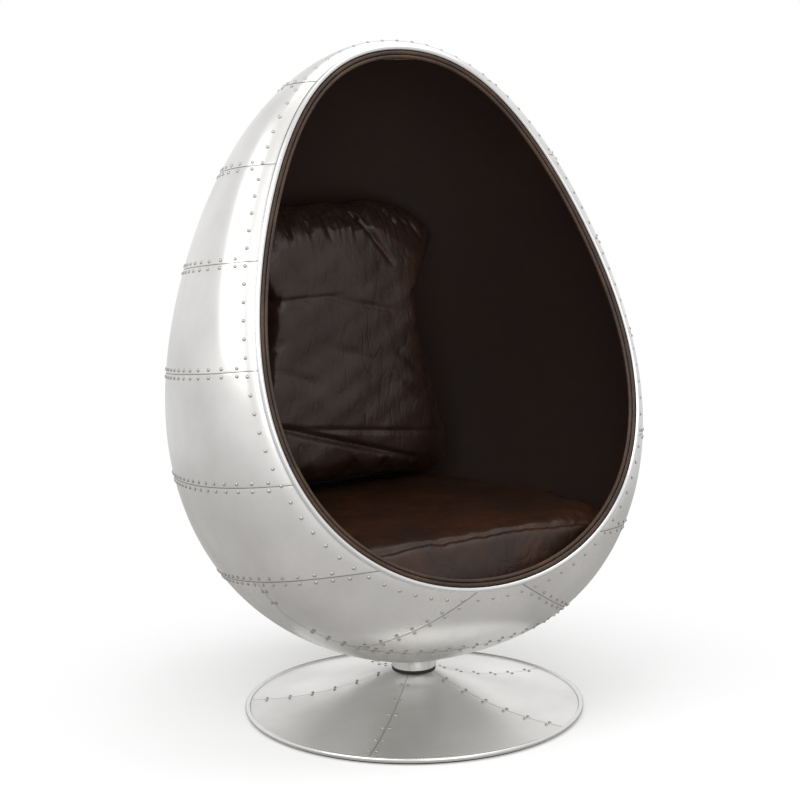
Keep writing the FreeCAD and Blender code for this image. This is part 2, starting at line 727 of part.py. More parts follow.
collar_rise = raised("collar_top_level")
collar_inner_foot = size("collar_foot_radius") - size("collar_wall")
collar_inner_top = size("collar_top_radius") - size("collar_wall")
collar_blank = turned("collar_blank", [
    (size("collar_foot_radius"), collar_foot, size("collar_flare_radius"), 1),
    (size("collar_top_radius"), collar_rise),
    (collar_inner_top, collar_rise, size("collar_flare_radius") + size("collar_wall"), -1),
    (collar_inner_foot, collar_foot),
])
shaped("neck_collar", collar_blank.Shape.cut(egg_around))

# Moulded shell: a bowl, a crown, and two sides bonded along the middle between them

shell = egg_wall(shell_outer, shell_inner).cut(before_opening(mm("wall_setback"))).cut(bolt_holes())
half_bond = mm("curved_gap") / 2
half_joint = Vector(half_bond, 0, 0)
bowl_joint = seam_plane(mm("shell_bowl_height"), mm("pod_lean"))
crown_joint = seam_plane(mm("shell_crown_height"), mm("pod_lean"))
shaped("pod_shell_bowl", shell.cut(above(bowl_joint, half_bond)))
shaped("pod_shell_crown", shell.cut(under(crown_joint, half_bond)))
sides = shell.cut(under(bowl_joint, half_bond)).cut(above(crown_joint, half_bond))
shaped("pod_shell_right", sides.cut(half_space(half_joint, Vector(-1, 0, 0))))
shaped("pod_shell_left", sides.cut(half_space(-half_joint, Vector(1, 0, 0))))

# Aluminium sheets over the shell

skin = egg_wall(0.0, mm("skin_sheet")).cut(before_opening(mm("skin_setback")))
skin = skin.cut(through_hole(mm("hub_flange_radius") + mm("curved_gap")))
UPPER_SEAMS = ("two", "three", "four", "five", "six")
first_ring = seam_plane(mm("seam_height_one"), mm("low_seam_lean"))
ring_planes = [first_ring] + [seam_plane(mm(f"seam_height_{word}"), mm("pod_lean")) for word in UPPER_SEAMS]
half_gap = mm("panel_gap") / 2
for number, (low, high) in enumerate(zip(ring_planes, ring_planes[1:]), start=1):
    shaped(f"pod_sheet_{number}", skin.cut(under(low, half_gap)).cut(above(high, half_gap)))
shaped("pod_sheet_top", skin.cut(under(ring_planes[-1], half_gap)))

# The bowl under the lowest ring seam is cut by four seam planes that meet at its sides: two side
# seams in one plane, the chin seam in front of the neck, and a keel seam to each side of the chin.

SIDE_SEAM_DEGREES = 79.0
CHIN_SEAM_DEGREES = 45.0
KEEL_SLOPE_SHARES = (0.70, 0.287)
BACK_GORE_DEGREES = 38.0


def seam_planes():
    """Point and normal of each seam plane of the bowl; each normal points out of the keel sheet."""
    side = math.radians(SIDE_SEAM_DEGREES)
    chin = math.radians(CHIN_SEAM_DEGREES)
    across, back = KEEL_SLOPE_SHARES
    side_point = Vector(0, -mm("side_seam_forward"), raised("side_seam_height").value)
    chin_point = Vector(0, -mm("chin_seam_forward"), raised("chin_seam_height").value)
    keel_point = Vector(0, 0, raised("keel_seam_height").value)
    return {
        "side": (side_point, Vector(0, math.sin(side), -math.cos(side))),
        "chin": (chin_point, Vector(0, math.sin(chin), -math.cos(chin))),
        "keel_right": (keel_point, Vector(across, -back, 1).normalize()),
        "keel_left": (keel_point, Vector(-across, -back, 1).normalize()),
    }


planes = seam_planes()
gore = math.radians(BACK_GORE_DEGREES)
gore_right = Vector(math.cos(gore), -math.sin(gore), 0)
gore_left = Vector(-math.cos(gore), -math.sin(gore), 0)


def between_gores(margin):
    """Block behind the neck between the planes of the two back gores, grown by the margin."""
    return half_space(gore_right * margin, -gore_right).common(half_space(gore_left * margin, -gore_left))


bowl = skin.cut(above(first_ring, half_gap))
front = bowl.cut(above(planes["side"], half_gap)).cut(above(planes["chin"], half_gap))
keel = front.cut(above(planes["keel_right"], half_gap)).cut(above(planes["keel_left"], half_gap))
shaped("pod_sheet_keel", keel)
shaped("pod_sheet_front_right", front.cut(under(planes["keel_right"], half_gap)))
shaped("pod_sheet_front_left", front.cut(under(planes["keel_left"], half_gap)))
rear = bowl.cut(under(planes["side"], half_gap).common(under(planes["chin"], half_gap)))
shaped("pod_sheet_back", rear.common(between_gores(-half_gap)))
shaped("pod_sheet_belly", rear.cut(between_gores(half_gap)))

# Rivets

FINE_STEPS = 240
SOLVE_STEPS = 40


def in_front(point, depth):
    """True where a point lies in front of a plane behind the opening plane by the depth."""
    return point.dot(opening_normal) > opening_reach - depth


def solve(side_of, low, high):
    """Value between two where a function changes sign."""
    start = side_of(low)
    for _ in range(SOLVE_STEPS):
        middle = (low + high) / 2
        if side_of(middle) * start > 0:
            low = middle
        else:
            high = middle
    return (low + high) / 2


def side_of_plane(plane, share, angle):
    point, normal = plane
    return (egg_skin(share, angle) - point).dot(normal)


def seam_across(plane, bounds, first_angle, last_angle, keep):
    """Fine points and normals on a seam, solved along the egg for a row of angles in degrees."""
    stations = []
    for index in range(FINE_STEPS + 1):
        angle = math.radians(first_angle + (last_angle - first_angle) * index / FINE_STEPS)
        share = solve(lambda value: side_of_plane(plane, value, angle), *bounds)
        point = egg_skin(share, angle)
        if keep(point):
            stations.append((point, egg_facing(share, angle)))
    return stations


def spaced(stations, pitch):
    """Evenly spaced places along fine stations, each with its normal and the direction along."""
    lengths = [0.0]
    for (before, _), (after, _) in zip(stations, stations[1:]):
        lengths.append(lengths[-1] + after.distanceToPoint(before))
    count = max(2, round(lengths[-1] / pitch))
    places = []
    cursor = 0
    for number in range(count):
        target = lengths[-1] * (number + 0.5) / count
        while lengths[cursor + 1] < target:
            cursor += 1
        portion = (target - lengths[cursor]) / (lengths[cursor + 1] - lengths[cursor])
        before, after = stations[cursor], stations[cursor + 1]
        point = before[0] + (after[0] - before[0]) * portion
        normal = (before[1] + (after[1] - before[1]) * portion).normalize()
        places.append((point, normal, (after[0] - before[0]).normalize()))
    return places


def rivet_head(point, normal):
    """Domed head on a sheet."""
    radius, crown = mm("rivet_radius"), mm("rivet_crown")
    ball = (radius * radius + crown * crown) / (2 * crown)
    low = math.degrees(math.asin((ball - crown) / ball))
    centre = point + normal * (mm("rivet_seat") + crown - ball)
    return Part.makeSphere(ball, centre, normal, low, 90, 360)


def rivet_pairs(places, keep=lambda point: True):
    """Heads on both sides of a seam, where they are to be kept."""
    heads = []
    for point, normal, along in places:
        beside = normal.cross(along).normalize() * (mm("rivet_row_gap") / 2)
        heads += [rivet_head(place, normal) for place in (point + beside, point - beside) if keep(place)]
    return heads


def behind_rim(point):
    return not in_front(point, mm("rim_rivet_depth"))


def clear_of_rim(point):
    """True where a head stands clear of the row of rivets along the opening."""
    return not in_front(point, mm("rim_rivet_depth") + 2 * mm("rivet_radius") + mm("rivet_room"))


# Each ring seam from the middle of the front round the back to the middle of the front
WHOLE_TURN_DEGREES = (-90.0, 270.0)
TIP_SHARE = -0.995
WHOLE_EGG = (TIP_SHARE, -TIP_SHARE)

ring_heads = []
for plane in ring_planes:
    stations = seam_across(plane, WHOLE_EGG, *WHOLE_TURN_DEGREES, behind_rim)
    ring_heads += rivet_pairs(spaced(stations, mm("rivet_pitch")), clear_of_rim)
shaped("ring_rivets", Part.makeCompound(ring_heads))

# Bowl seams: the side seams run from the lowest ring down to where the chin seam starts, the keel
# seams from the opening to the same places, and two gores fan out behind the neck.

LOW_SHARE = 2 * mm("seam_height_one") / mm("pod_length") - 1.0
BOWL = (TIP_SHARE, LOW_SHARE)


def seam_along(side_of, angle_low, angle_high, keep):
    """Stations on a steep seam, solved round the egg for a row of shares."""
    low, high = math.radians(angle_low), math.radians(angle_high)
    stations = []
    for index in range(FINE_STEPS + 1):
        share = LOW_SHARE + (TIP_SHARE - LOW_SHARE) * index / FINE_STEPS
        angle = solve(lambda value: side_of(share, value), low, high)
        point = egg_skin(share, angle)
        if keep(point):
            stations.append((point, egg_facing(share, angle)))
    return stations


def short_of(plane, point, margin=0.0):
    """True where a point lies under a plane by more than the margin."""
    start, normal = plane
    return (point - start).dot(normal) < -margin


def on_chin_seam(point):
    return short_of(planes["side"], point)


def on_keel_seam(point):
    return short_of(planes["side"], point) and short_of(planes["chin"], point) and behind_rim(point)


def on_side_seam(point):
    row_half = mm("rivet_row_gap") / 2
    return short_of(planes["chin"], point, row_half) and short_of(first_ring, point, row_half)


def on_gore(point):
    clear = mm("collar_top_radius") + mm("rivet_row_gap")
    return math.hypot(point.x, point.y) > clear and short_of(first_ring, point, mm("rivet_row_gap") / 2)


def side_of_side(share, angle):
    return side_of_plane(planes["side"], share, angle)


# First and last angle of each seam, a little wider than the seam itself
CHIN_DEGREES = (-170.0, -10.0)
LEFT_FRONT_DEGREES = (-170.0, -92.0)
RIGHT_FRONT_DEGREES = (-88.0, -10.0)
LEFT_SIDE_DEGREES = (215.0, 150.0)
RIGHT_SIDE_DEGREES = (-35.0, 30.0)
RIGHT_BACK_DEGREES = (-30.0, 90.0)
LEFT_BACK_DEGREES = (210.0, 90.0)

bowl_seams = [
    seam_across(planes["chin"], BOWL, *CHIN_DEGREES, on_chin_seam),
    seam_across(planes["keel_left"], BOWL, *LEFT_FRONT_DEGREES, on_keel_seam),
    seam_across(planes["keel_right"], BOWL, *RIGHT_FRONT_DEGREES, on_keel_seam),
    seam_along(side_of_side, *LEFT_SIDE_DEGREES, on_side_seam),
    seam_along(side_of_side, *RIGHT_SIDE_DEGREES, on_side_seam),
    seam_along(lambda share, angle: egg_skin(share, angle).dot(gore_right), *RIGHT_BACK_DEGREES, on_gore),
    seam_along(lambda share, angle: egg_skin(share, angle).dot(gore_left), *LEFT_BACK_DEGREES, on_gore),
]
bowl_heads = []
for stations in bowl_seams:
    bowl_heads += rivet_pairs(spaced(stations, mm("rivet_pitch")), clear_of_rim)
shaped("bowl_rivets", Part.makeCompound(bowl_heads))

# Curves that follow the opening, found along rays from a point on the opening plane

RIM_POINTS = 36
RIM_CENTRE_SHARE = 0.1


def egg_local(point):
    """Share, place across as a part of the ring's half width, and distance behind its centre."""
    local = pod_place.inverse().multVec(point)
    share = 2 * local.z / mm("pod_length") - 1.0
    if abs(share) >= 1.0:
        return share, 1.0, 0.0
    return share, local.x / half_width(share), local.y - ring_centre(share)


def inside_egg(point):
    """Positive inside the outer face."""
    share, across, back = egg_local(point)
    if abs(across) >= 1.0:
        return -1.0
    sine = math.sqrt(1.0 - across ** 2)
    return min(ring_reach(share, sine) - back, back - ring_reach(share, -sine))


rim_axis_point = egg_skin(RIM_CENTRE_SHARE, 0.0)
rim_axis_point.x = 0.0
rim_middle = rim_axis_point + opening_normal * (opening_reach - rim_axis_point.dot(opening_normal))


def rim_point(number, depth):
    """Point where the egg's outer face meets a plane behind the opening plane by the depth."""
    angle = 2 * math.pi * number / RIM_POINTS
    ray = Vector(math.cos(angle), 0, 0) + opening_up * math.sin(angle)
    start = rim_middle - opening_normal * depth
    reach = solve(lambda value: inside_egg(start + ray * value), 0.0, mm("pod_length"))
    return start + ray * reach


def rim_loop(outset, drop):
    """Closed curve beside the edge of the opening, moved outwards and behind its plane."""
    edge = [rim_point(number, 0.0) for number in range(RIM_POINTS)]
    points = []
    for number, point in enumerate(edge):
        along = (edge[(number + 1) % RIM_POINTS] - edge[number - 1]).normalize()
        outwards = opening_normal.cross(along).normalize()
        if outwards.dot(point - rim_middle) < 0:
            outwards = -outwards
        points.append(point + outwards * outset - opening_normal * drop)
    return points


def rim_tube(name, outset, drop, radius):
    """Round tube along a rim loop."""
    points = rim_loop(outset, drop)
    curve = Part.BSplineCurve()
    curve.interpolate(Points=points, PeriodicFlag=True)
    direction = curve.tangent(curve.FirstParameter)[0]
    section = Part.Wire([Part.Circle(points[0], direction, radius).toShape()])
    tube = Part.Wire([curve.toShape()]).makePipeShell([section], True, True)
    return shaped(name, tube)


rim_tube("rim_trim", mm("trim_outset"), 0.0, mm("trim_radius"))
outer_piping_out = mm("trim_outset") - mm("trim_radius") - mm("piping_gap") - mm("piping_radius")
rim_tube("outer_piping", outer_piping_out, mm("piping_drop"), mm("piping_radius"))
inner_piping_out = outer_piping_out - 2 * mm("piping_radius") - mm("piping_gap")
rim_tube("inner_piping", inner_piping_out, 2 * mm("piping_drop"), mm("piping_radius"))

rim_stations = []
for number in range(FINE_STEPS + 1):
    point = rim_point(number * RIM_POINTS / FINE_STEPS, mm("rim_rivet_depth"))
    share, across, back = egg_local(point)
    angle = solve(lambda value: ring_reach(share, math.sin(value)) - back, -math.pi / 2, math.pi / 2)
    rim_stations.append((point, egg_facing(share, angle if across > 0 else math.pi - angle)))
rim_places = spaced(rim_stations, mm("rim_rivet_pitch"))
shaped("rim_rivets", Part.makeCompound([rivet_head(point, normal) for point, normal, along in rim_places]))

# Rivets of the base, in pairs along its five seams

flare_centre = mm("base_edge_height") + mm("base_flare_radius")
base_heads = []
for degrees in BASE_SEAM_DEGREES:
    outwards = Vector(math.cos(math.radians(degrees)), math.sin(math.radians(degrees)), 0)
    stations = []
    span = sheet_edge.value - mm("base_neck_radius") - mm("rivet_row_gap")
    for index in range(FINE_STEPS + 1):
        radius = mm("base_neck_radius") + mm("rivet_row_gap") / 2 + span * index / FINE_STEPS
        run = mm("base_radius") - radius
        rise = math.sqrt(mm("base_flare_radius") ** 2 - run ** 2)
        point = outwards * radius + Vector(0, 0, flare_centre - rise)
        normal = (outwards * run + Vector(0, 0, rise)).normalize()
        stations.append((point, normal))
    base_heads += rivet_pairs(spaced(stations, mm("base_rivet_pitch")))
shaped("base_rivets", Part.makeCompound(base_heads))

# Lining: the leather turns over the edge of the foam at the opening

above_foot = half_space(Vector(0, 0, raised("lining_foot_level").value), Vector(0, 0, 1))
turned_depth = mm("wall_setback") + mm("leather_wall")
foam_cut = before_opening(turned_depth + mm("curved_gap"))
foam_top = above(seam_plane(mm("foam_top_height"), mm("pod_lean")), 0)
shaped("lining_foam", egg_wall(foam_outer, foam_inner).cut(foam_cut).common(above_foot).cut(foam_top))
foam_room = egg_wall(foam_outer - mm("curved_gap"), leather_outer).cut(before_opening(turned_depth))
leather = egg_wall(foam_outer, lining_inner).cut(before_opening(mm("wall_setback")))
shaped("lining_leather", leather.cut(foam_room).common(above_foot))

# Seat board on four wooden blocks

board_foot = raised("board_level") - size("board_height")
board_back = size("board_back")
board_blank = rod("board_blank", size("board_radius"), size("board_height"), ZERO, board_back, board_foot)
BLOCKS = 4
board_holes = []
screws = []
block_shapes = []
screw_level = raised("board_level") - size("screw_length")
hole_radius = size("screw_radius") + size("press_gap")
block_half = mm("block_side") / 2
for number, x, y in ring_places(size("block_ring"), BLOCKS, 45.0):
    place_y = y + board_back
    board_holes.append(rod(f"board_hole_{number}", hole_radius, size("board_height"), x, place_y, board_foot))
    stem = rod(f"screw_stem_{number}", size("screw_radius"), size("screw_length"), x, place_y, screw_level)
    board_top = raised("board_level")
    head_radius, head_height = size("screw_head_radius"), size("screw_head_height")
    head = rod(f"screw_head_{number}", head_radius, head_height, x, place_y, board_top)
    screws.append(joined(f"screw_{number}", stem, head))
    corner = Vector(x.value - block_half, place_y.value - block_half, 0)
    block = Part.makeBox(mm("block_side"), mm("block_side"), board_foot.value, corner)
    drill_foot = Vector(x.value, place_y.value, screw_level.value)
    drill = Part.makeCylinder(hole_radius.value, mm("screw_length"), drill_foot)
    block_shapes.append(block.common(egg_room).cut(drill))
finish(removed("seat_board", board_blank, joined("board_holes", *board_holes)), "seat_board")
finish(grouped("board_screws", screws), "board_screws")
shaped("seat_blocks", Part.makeCompound(block_shapes))

# Cushions, and the foam block that holds the back cushion forward

reach = mm("pod_length")
seat_foot = raised("board_level").value + mm("screw_head_height") + mm("soft_gap")
seat_rise = raised("seat_level").value - seat_foot
seat_blank = Part.makeBox(2 * reach, reach + mm("seat_rear"), seat_rise, Vector(-reach, -reach, seat_foot))
shaped("seat_cushion", seat_blank.common(egg_soft).cut(before_opening(mm("seat_setback"))))

lean = math.radians(mm("back_lean"))
cushion_foot = raised("seat_level").value + mm("soft_gap")
cushion_rise = raised("back_top_level").value - cushion_foot
cushion_depth = mm("back_rear") - mm("back_front")
back_blank = Part.makeBox(mm("back_width"), cushion_depth, cushion_rise, Vector(-mm("back_width") / 2, 0, 0))
back_blank = back_blank.makeFillet(mm("back_round"), back_blank.Edges)
back_blank.Placement = Placement(Vector(0, mm("back_front"), cushion_foot + cushion_depth * math.sin(lean)),
                                 Rotation(Vector(1, 0, 0), -mm("back_lean")))
shaped("back_cushion", back_blank.common(egg_soft))

support_front = Vector(0, mm("back_rear") + mm("soft_gap"), cushion_foot)
support = half_space(support_front, Vector(0, math.cos(lean), -math.sin(lean)))
support_blank = Part.makeBox(2 * reach, reach, cushion_rise, Vector(-reach, 0, cushion_foot))
shaped("back_support", support_blank.common(egg_soft).common(support))

# Check and write

doc.recompute()
for item in doc.Objects:
    if "Invalid" in item.State or "Error" in item.State:
        raise RuntimeError(f"{item.Name} failed: {item.State}")
for piece in finished:
    if piece.Shape.isNull() or not piece.Shape.isValid() or not piece.Shape.Solids:
        raise RuntimeError(f"{piece.Label} has no valid solid")
for piece in finished:
    piece.Shape.exportStep(f"parts/{piece.Label}.step")
print(len(finished), "sub-parts written")
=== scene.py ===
"""Looks of a swivel armchair: a riveted aluminium egg lined with dark leather on a flared base.

Lengths are metres in the chair's own frame: +Z up, the origin on the floor on the swivel axis,
and the chair opens towards -Y.
"""

from __future__ import annotations

import json
import logging
import math
from collections.abc import Callable
from dataclasses import dataclass
from enum import Enum

import bpy
import numpy as np
from mathutils import Matrix

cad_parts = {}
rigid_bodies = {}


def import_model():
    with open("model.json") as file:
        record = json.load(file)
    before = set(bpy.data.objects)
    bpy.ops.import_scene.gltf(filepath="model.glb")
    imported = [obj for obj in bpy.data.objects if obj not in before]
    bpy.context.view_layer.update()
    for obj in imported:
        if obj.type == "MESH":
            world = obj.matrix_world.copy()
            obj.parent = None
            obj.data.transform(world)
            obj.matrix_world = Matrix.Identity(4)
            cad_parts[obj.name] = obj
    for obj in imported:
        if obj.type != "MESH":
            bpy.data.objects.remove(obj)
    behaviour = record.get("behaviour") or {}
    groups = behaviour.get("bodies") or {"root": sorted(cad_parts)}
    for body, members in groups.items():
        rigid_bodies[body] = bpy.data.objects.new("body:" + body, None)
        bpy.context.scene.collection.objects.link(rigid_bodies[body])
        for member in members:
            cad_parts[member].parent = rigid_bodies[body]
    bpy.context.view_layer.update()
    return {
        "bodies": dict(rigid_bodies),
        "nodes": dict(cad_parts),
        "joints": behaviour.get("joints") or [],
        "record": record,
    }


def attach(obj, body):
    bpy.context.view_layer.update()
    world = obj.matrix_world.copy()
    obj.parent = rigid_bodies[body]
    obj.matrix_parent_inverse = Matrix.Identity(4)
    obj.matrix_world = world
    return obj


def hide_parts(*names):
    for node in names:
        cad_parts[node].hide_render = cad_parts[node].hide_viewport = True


LOG = logging.getLogger("egg_chair")
MM = 1000.0
TINY = 1e-9
Links = dict[int | str, object]
Point = tuple[float, float, float]


class Body(Enum):
    """The two bodies that the swivel joins."""

    BASE = "base"
    POD = "pod"


# Colours and nodes


def linear(hex_code: str) -> tuple[float, float, float, float]:
    """Turns an sRGB hex colour to linear light.

    Args:
        hex_code: six hex digits.

    Returns:
        Linear red, green, blue and an alpha of 1.
    """
    levels = np.array([int(hex_code[i : i + 2], 16) / 255 for i in (0, 2, 4)])
    light = np.where(levels <= 0.04045, levels / 12.92, ((levels + 0.055) / 1.055) ** 2.4)
    return (*light.tolist(), 1.0)


def add(tree: bpy.types.NodeTree, kind: str, links: Links | None = None, **settings: object) -> bpy.types.Node:
    """Adds a node with its settings, its socket values and its links.

    Args:
        tree: the node tree that gets it.
        kind: Blender's name of the node type.
        links: for each socket a value, or the output socket that feeds it.
        settings: properties of the node.

    Returns:
        The node.
    """
    made = tree.nodes.new(kind)
    for name, value in settings.items():
        setattr(made, name, value)
    for socket, value in (links or {}).items():
        if isinstance(value, bpy.types.NodeSocket):
            tree.links.new(value, made.inputs[socket])
        else:
            made.inputs[socket].default_value = value
    return made


def new_material(name: str) -> tuple[bpy.types.Material, bpy.types.NodeTree, bpy.types.NodeSocket]:
    """Starts a material.

    Args:
        name: the material's name.

    Returns:
        The material, its empty node tree and the socket of the object coordinates.
    """
    material = bpy.data.materials.new(name)
    material.use_nodes = True
    tree = material.node_tree
    tree.nodes.clear()
    place = add(tree, "ShaderNodeTexCoord").outputs["Object"]
    return material, tree, place


def noise(tree: bpy.types.NodeTree, place: bpy.types.NodeSocket, size_mm: float, detail: float,
          roughness: float = 0.5, distortion: float = 0.0) -> bpy.types.NodeSocket:
    """Socket of a noise.

    Args:
        tree: the material's node tree.
        place: socket of the coordinates.
        size_mm: size of the coarsest waves.
        detail: number of finer layers.
        roughness: weight of each finer layer.
        distortion: how much the waves wander.

    Returns:
        The socket, about 0.5 on average.
    """
    return add(tree, "ShaderNodeTexNoise", {"Vector": place, "Scale": MM / size_mm, "Detail": detail,
                                           "Roughness": roughness, "Distortion": distortion}).outputs["Fac"]


def maths(tree: bpy.types.NodeTree, operation: str, *values: object) -> bpy.types.NodeSocket:
    """Socket with the result of a sum on numbers and sockets."""
    return add(tree, "ShaderNodeMath", dict(enumerate(values)), operation=operation).outputs[0]


def ranged(tree: bpy.types.NodeTree, value: bpy.types.NodeSocket, start: float, end: float, low: float = 0.0,
           high: float = 1.0, smooth: bool = False) -> bpy.types.NodeSocket:
    """Socket that goes from low to high while a value goes from start to end.

    Args:
        tree: the material's node tree.
        value: socket of the value.
        start: value at which the result starts to leave low.
        end: value at which it is at high.
        low: result at the start.
        high: result at the end.
        smooth: whether the result eases out of both ends.

    Returns:
        The socket.
    """
    return add(tree, "ShaderNodeMapRange", {"Value": value, "From Min": start, "From Max": end, "To Min": low,
                                           "To Max": high},
               interpolation_type="SMOOTHSTEP" if smooth else "LINEAR").outputs[0]


def blend(tree: bpy.types.NodeTree, share: bpy.types.NodeSocket, low: object, high: object) -> bpy.types.NodeSocket:
    """Socket of a colour that goes from low to high with the share."""
    return add(tree, "ShaderNodeMix", {0: share, 6: low, 7: high}, data_type="RGBA").outputs[2]


def shade(tree: bpy.types.NodeTree, colour: object, roughness: object, height: bpy.types.NodeSocket,
          **more: float) -> None:
    """Ends a material with a principled shader over a relief.

    Args:
        tree: the material's node tree.
        colour: socket of the base colour.
        roughness: number or socket.
        height: socket of the relief's height in metres.
        more: other sockets by name, with _ for a space.
    """
    bump = add(tree, "ShaderNodeBump", {"Height": height, "Strength": 1.0, "Distance": 1.0})
    links = {"Base Color": colour, "Roughness": roughness, "Normal": bump.outputs[0]}
    links.update({name.replace("_", " "): value for name, value in more.items()})
    shader = add(tree, "ShaderNodeBsdfPrincipled", links)
    add(tree, "ShaderNodeOutputMaterial", {"Surface": shader.outputs[0]})


# Shapes


@dataclass(frozen=True)
class Plane:
    """A plane whose distance is positive on the side that its normal points to."""

    normal: Point
    offset: float

    @staticmethod
    def through(point: Point, normal: Point) -> Plane:
        """Plane through a point."""
        unit = np.array(normal) / np.linalg.norm(normal)
        return Plane(tuple(unit.tolist()), float(unit @ np.array(point)))

    def flipped(self) -> Plane:
        """The same plane, facing the other way."""
        return Plane(tuple(-value for value in self.normal), -self.offset)


@dataclass(frozen=True)
class Egg:
    """The pod's outer face: rings square to a leaning axis, deep behind and flat in front."""

    length: float = 1.0788
    width: float = 0.8765
    lift: float = 0.1127
    forward: float = 0.0837
    lean: float = math.radians(7.25)
    belly_shift: float = 0.0057
    shoulder_shift: float = 0.0283
    opening_tilt: float = math.radians(18.48)
    opening_reach: float = 0.3456
    rim_share: float = 0.1
    taper: tuple[float, ...] = (0.1433, -0.0062, -0.0755, -0.0692, 0.0861)
    back_depth: tuple[float, float] = (1.2574, -0.4305)
    front_depth: tuple[float, float] = (0.3194, -0.1652)
    blend: float = 0.8
    last_share: float = 0.99999
    widest_sine: float = 6.0
    halvings: int = 34

    def _bend(self, share: np.ndarray) -> np.ndarray:
        """Sum of the taper factors times rising powers of the share."""
        return sum(factor * share ** (power + 1) for power, factor in enumerate(self.taper))

    def half_width_squared(self, share: np.ndarray) -> np.ndarray:
        """Square of a ring's half width: (1 - s^2) exp(-2 bend), scaled to the widest ring."""
        steps = np.linspace(-1, 1, 1001)
        peak = np.max((1 - steps**2) * np.exp(-2 * self._bend(steps)))
        return (self.width / 2) ** 2 * (1 - share**2) * np.exp(-2 * self._bend(share)) / peak

    def ring_centre(self, share: np.ndarray) -> np.ndarray:
        """Distance of a ring's centre behind the egg's axis."""
        return (1 - share**2) * (self.shoulder_shift * share - self.belly_shift)

    @staticmethod
    def _ramp(turn: np.ndarray) -> np.ndarray:
        """Integral of a smooth step that rises from 0 to 1 while the turn goes from 0 to 1."""
        step = np.clip(turn, 0, 1)
        return step**4 * (2.5 - 3 * step + step**2) + np.maximum(turn - 1, 0)

    def depth_share(self, share: np.ndarray, sine: np.ndarray) -> np.ndarray:
        """Distance behind a ring's centre as a share of its half width."""
        front = self.front_depth[0] + self.front_depth[1] * share
        back = self.back_depth[0] + self.back_depth[1] * share
        spread = 2 * self.blend
        middle = self._ramp(np.float64(0.5))
        return front * sine + (back - front) * spread * (self._ramp(sine / spread + 0.5) - middle)

    def to_local(self, points: np.ndarray) -> np.ndarray:
        """Points in the egg's own frame, whose Z is its axis."""
        cos, sin = math.cos(self.lean), math.sin(self.lean)
        y, z = points[..., 1] + self.forward, points[..., 2] - self.lift
        return np.stack([points[..., 0], y * cos - z * sin, y * sin + z * cos], -1)

    def level(self, points: np.ndarray) -> np.ndarray:
        """Level function of the egg: x^2 - (half width)^2 cos^2, below zero inside.

        Args:
            points: an array of points in the chair's frame.

        Returns:
            The level of each point.
        """
        local = self.to_local(points)
        share = np.clip(2 * local[..., 2] / self.length - 1, -self.last_share, self.last_share)
        squared = self.half_width_squared(share)
        reach = (local[..., 1] - self.ring_centre(share)) / np.sqrt(np.maximum(squared, TINY**2))
        low, high = np.full(reach.shape, -self.widest_sine), np.full(reach.shape, self.widest_sine)
        for _ in range(self.halvings):
            middle = (low + high) / 2
            over = self.depth_share(share, middle) > reach
            high = np.where(over, middle, high)
            low = np.where(over, low, middle)
        sine = (low + high) / 2
        return local[..., 0] ** 2 + squared * (sine**2 - 1)

    def outward(self, points: np.ndarray) -> np.ndarray:
        """Unit direction away from the egg at each point, as the slope of the level function."""
        return self.slope(points)[0]

    def slope(self, points: np.ndarray) -> tuple[np.ndarray, np.ndarray]:
        """Slope of the level function.

        Args:
            points: an array of points in the chair's frame.

        Returns:
            The slope's unit direction, and its size.
        """
        step = 2e-4
        sides = []
        for axis in np.eye(3) * step:
            sides.append((self.level(points + axis) - self.level(points - axis)) / (2 * step))
        slope = np.stack(sides, -1)
        size = np.linalg.norm(slope, axis=-1)
        return slope / np.maximum(size, TINY)[..., None], size

    def under(self, points: np.ndarray) -> tuple[np.ndarray, np.ndarray]:
        """Direction towards the outer face at each point, and about how deep the point is under it."""
        direction, size = self.slope(points)
        return direction, -self.level(points) / np.maximum(size, TINY)

    def keep_inside(self, points: np.ndarray, inset: float) -> np.ndarray:
        """Moves points that come nearer to the outer face than the inset back inside.

        Args:
            points: an array of points.
            inset: least distance under the outer face.

        Returns:
            The moved points.
        """
        for _ in range(3):
            direction, depth = self.under(points)
            points = points - direction * np.maximum(inset - depth, 0)[..., None]
        return points

    @property
    def opening_normal(self) -> np.ndarray:
        """Direction out of the opening."""
        return np.array([0.0, -math.cos(self.opening_tilt), math.sin(self.opening_tilt)])

    @property
    def opening(self) -> Plane:
        """The opening plane, positive in front."""
        return Plane(tuple(self.opening_normal.tolist()), self.opening_reach)

    def rim(self, count: int) -> tuple[np.ndarray, np.ndarray]:
        """Edge of the opening, where rays on the opening plane leave the egg.

        Args:
            count: number of rays.

        Returns:
            Points on the edge, and the direction away from the opening's middle at each.
        """
        up = np.array([0.0, math.sin(self.opening_tilt), math.cos(self.opening_tilt)])
        share = np.float64(self.rim_share)
        local = np.array([0.0, float(self.ring_centre(share)), (1 + self.rim_share) / 2 * self.length])
        cos, sin = math.cos(self.lean), math.sin(self.lean)
        start = np.array([
            0.0,
            local[1] * cos + local[2] * sin - self.forward,
            -local[1] * sin + local[2] * cos + self.lift,
        ])
        start = start + self.opening_normal * (self.opening_reach - start @ self.opening_normal)
        angle = 2 * np.pi * np.arange(count) / count
        rays = np.cos(angle)[:, None] * np.array([1.0, 0, 0]) + np.sin(angle)[:, None] * up
        low, high = np.zeros(count), np.full(count, self.length)
        for _ in range(self.halvings):
            middle = (low + high) / 2
            inside = self.level(start + rays * middle[:, None]) < 0
            low = np.where(inside, middle, low)
            high = np.where(inside, high, middle)
        edge = start + rays * low[:, None]
        along = np.roll(edge, -1, axis=0) - np.roll(edge, 1, axis=0)
        away = np.cross(self.opening_normal, along)
        away /= np.linalg.norm(away, axis=1)[:, None]
        away *= np.sign(np.sum(away * rays, axis=1))[:, None]
        return edge, away


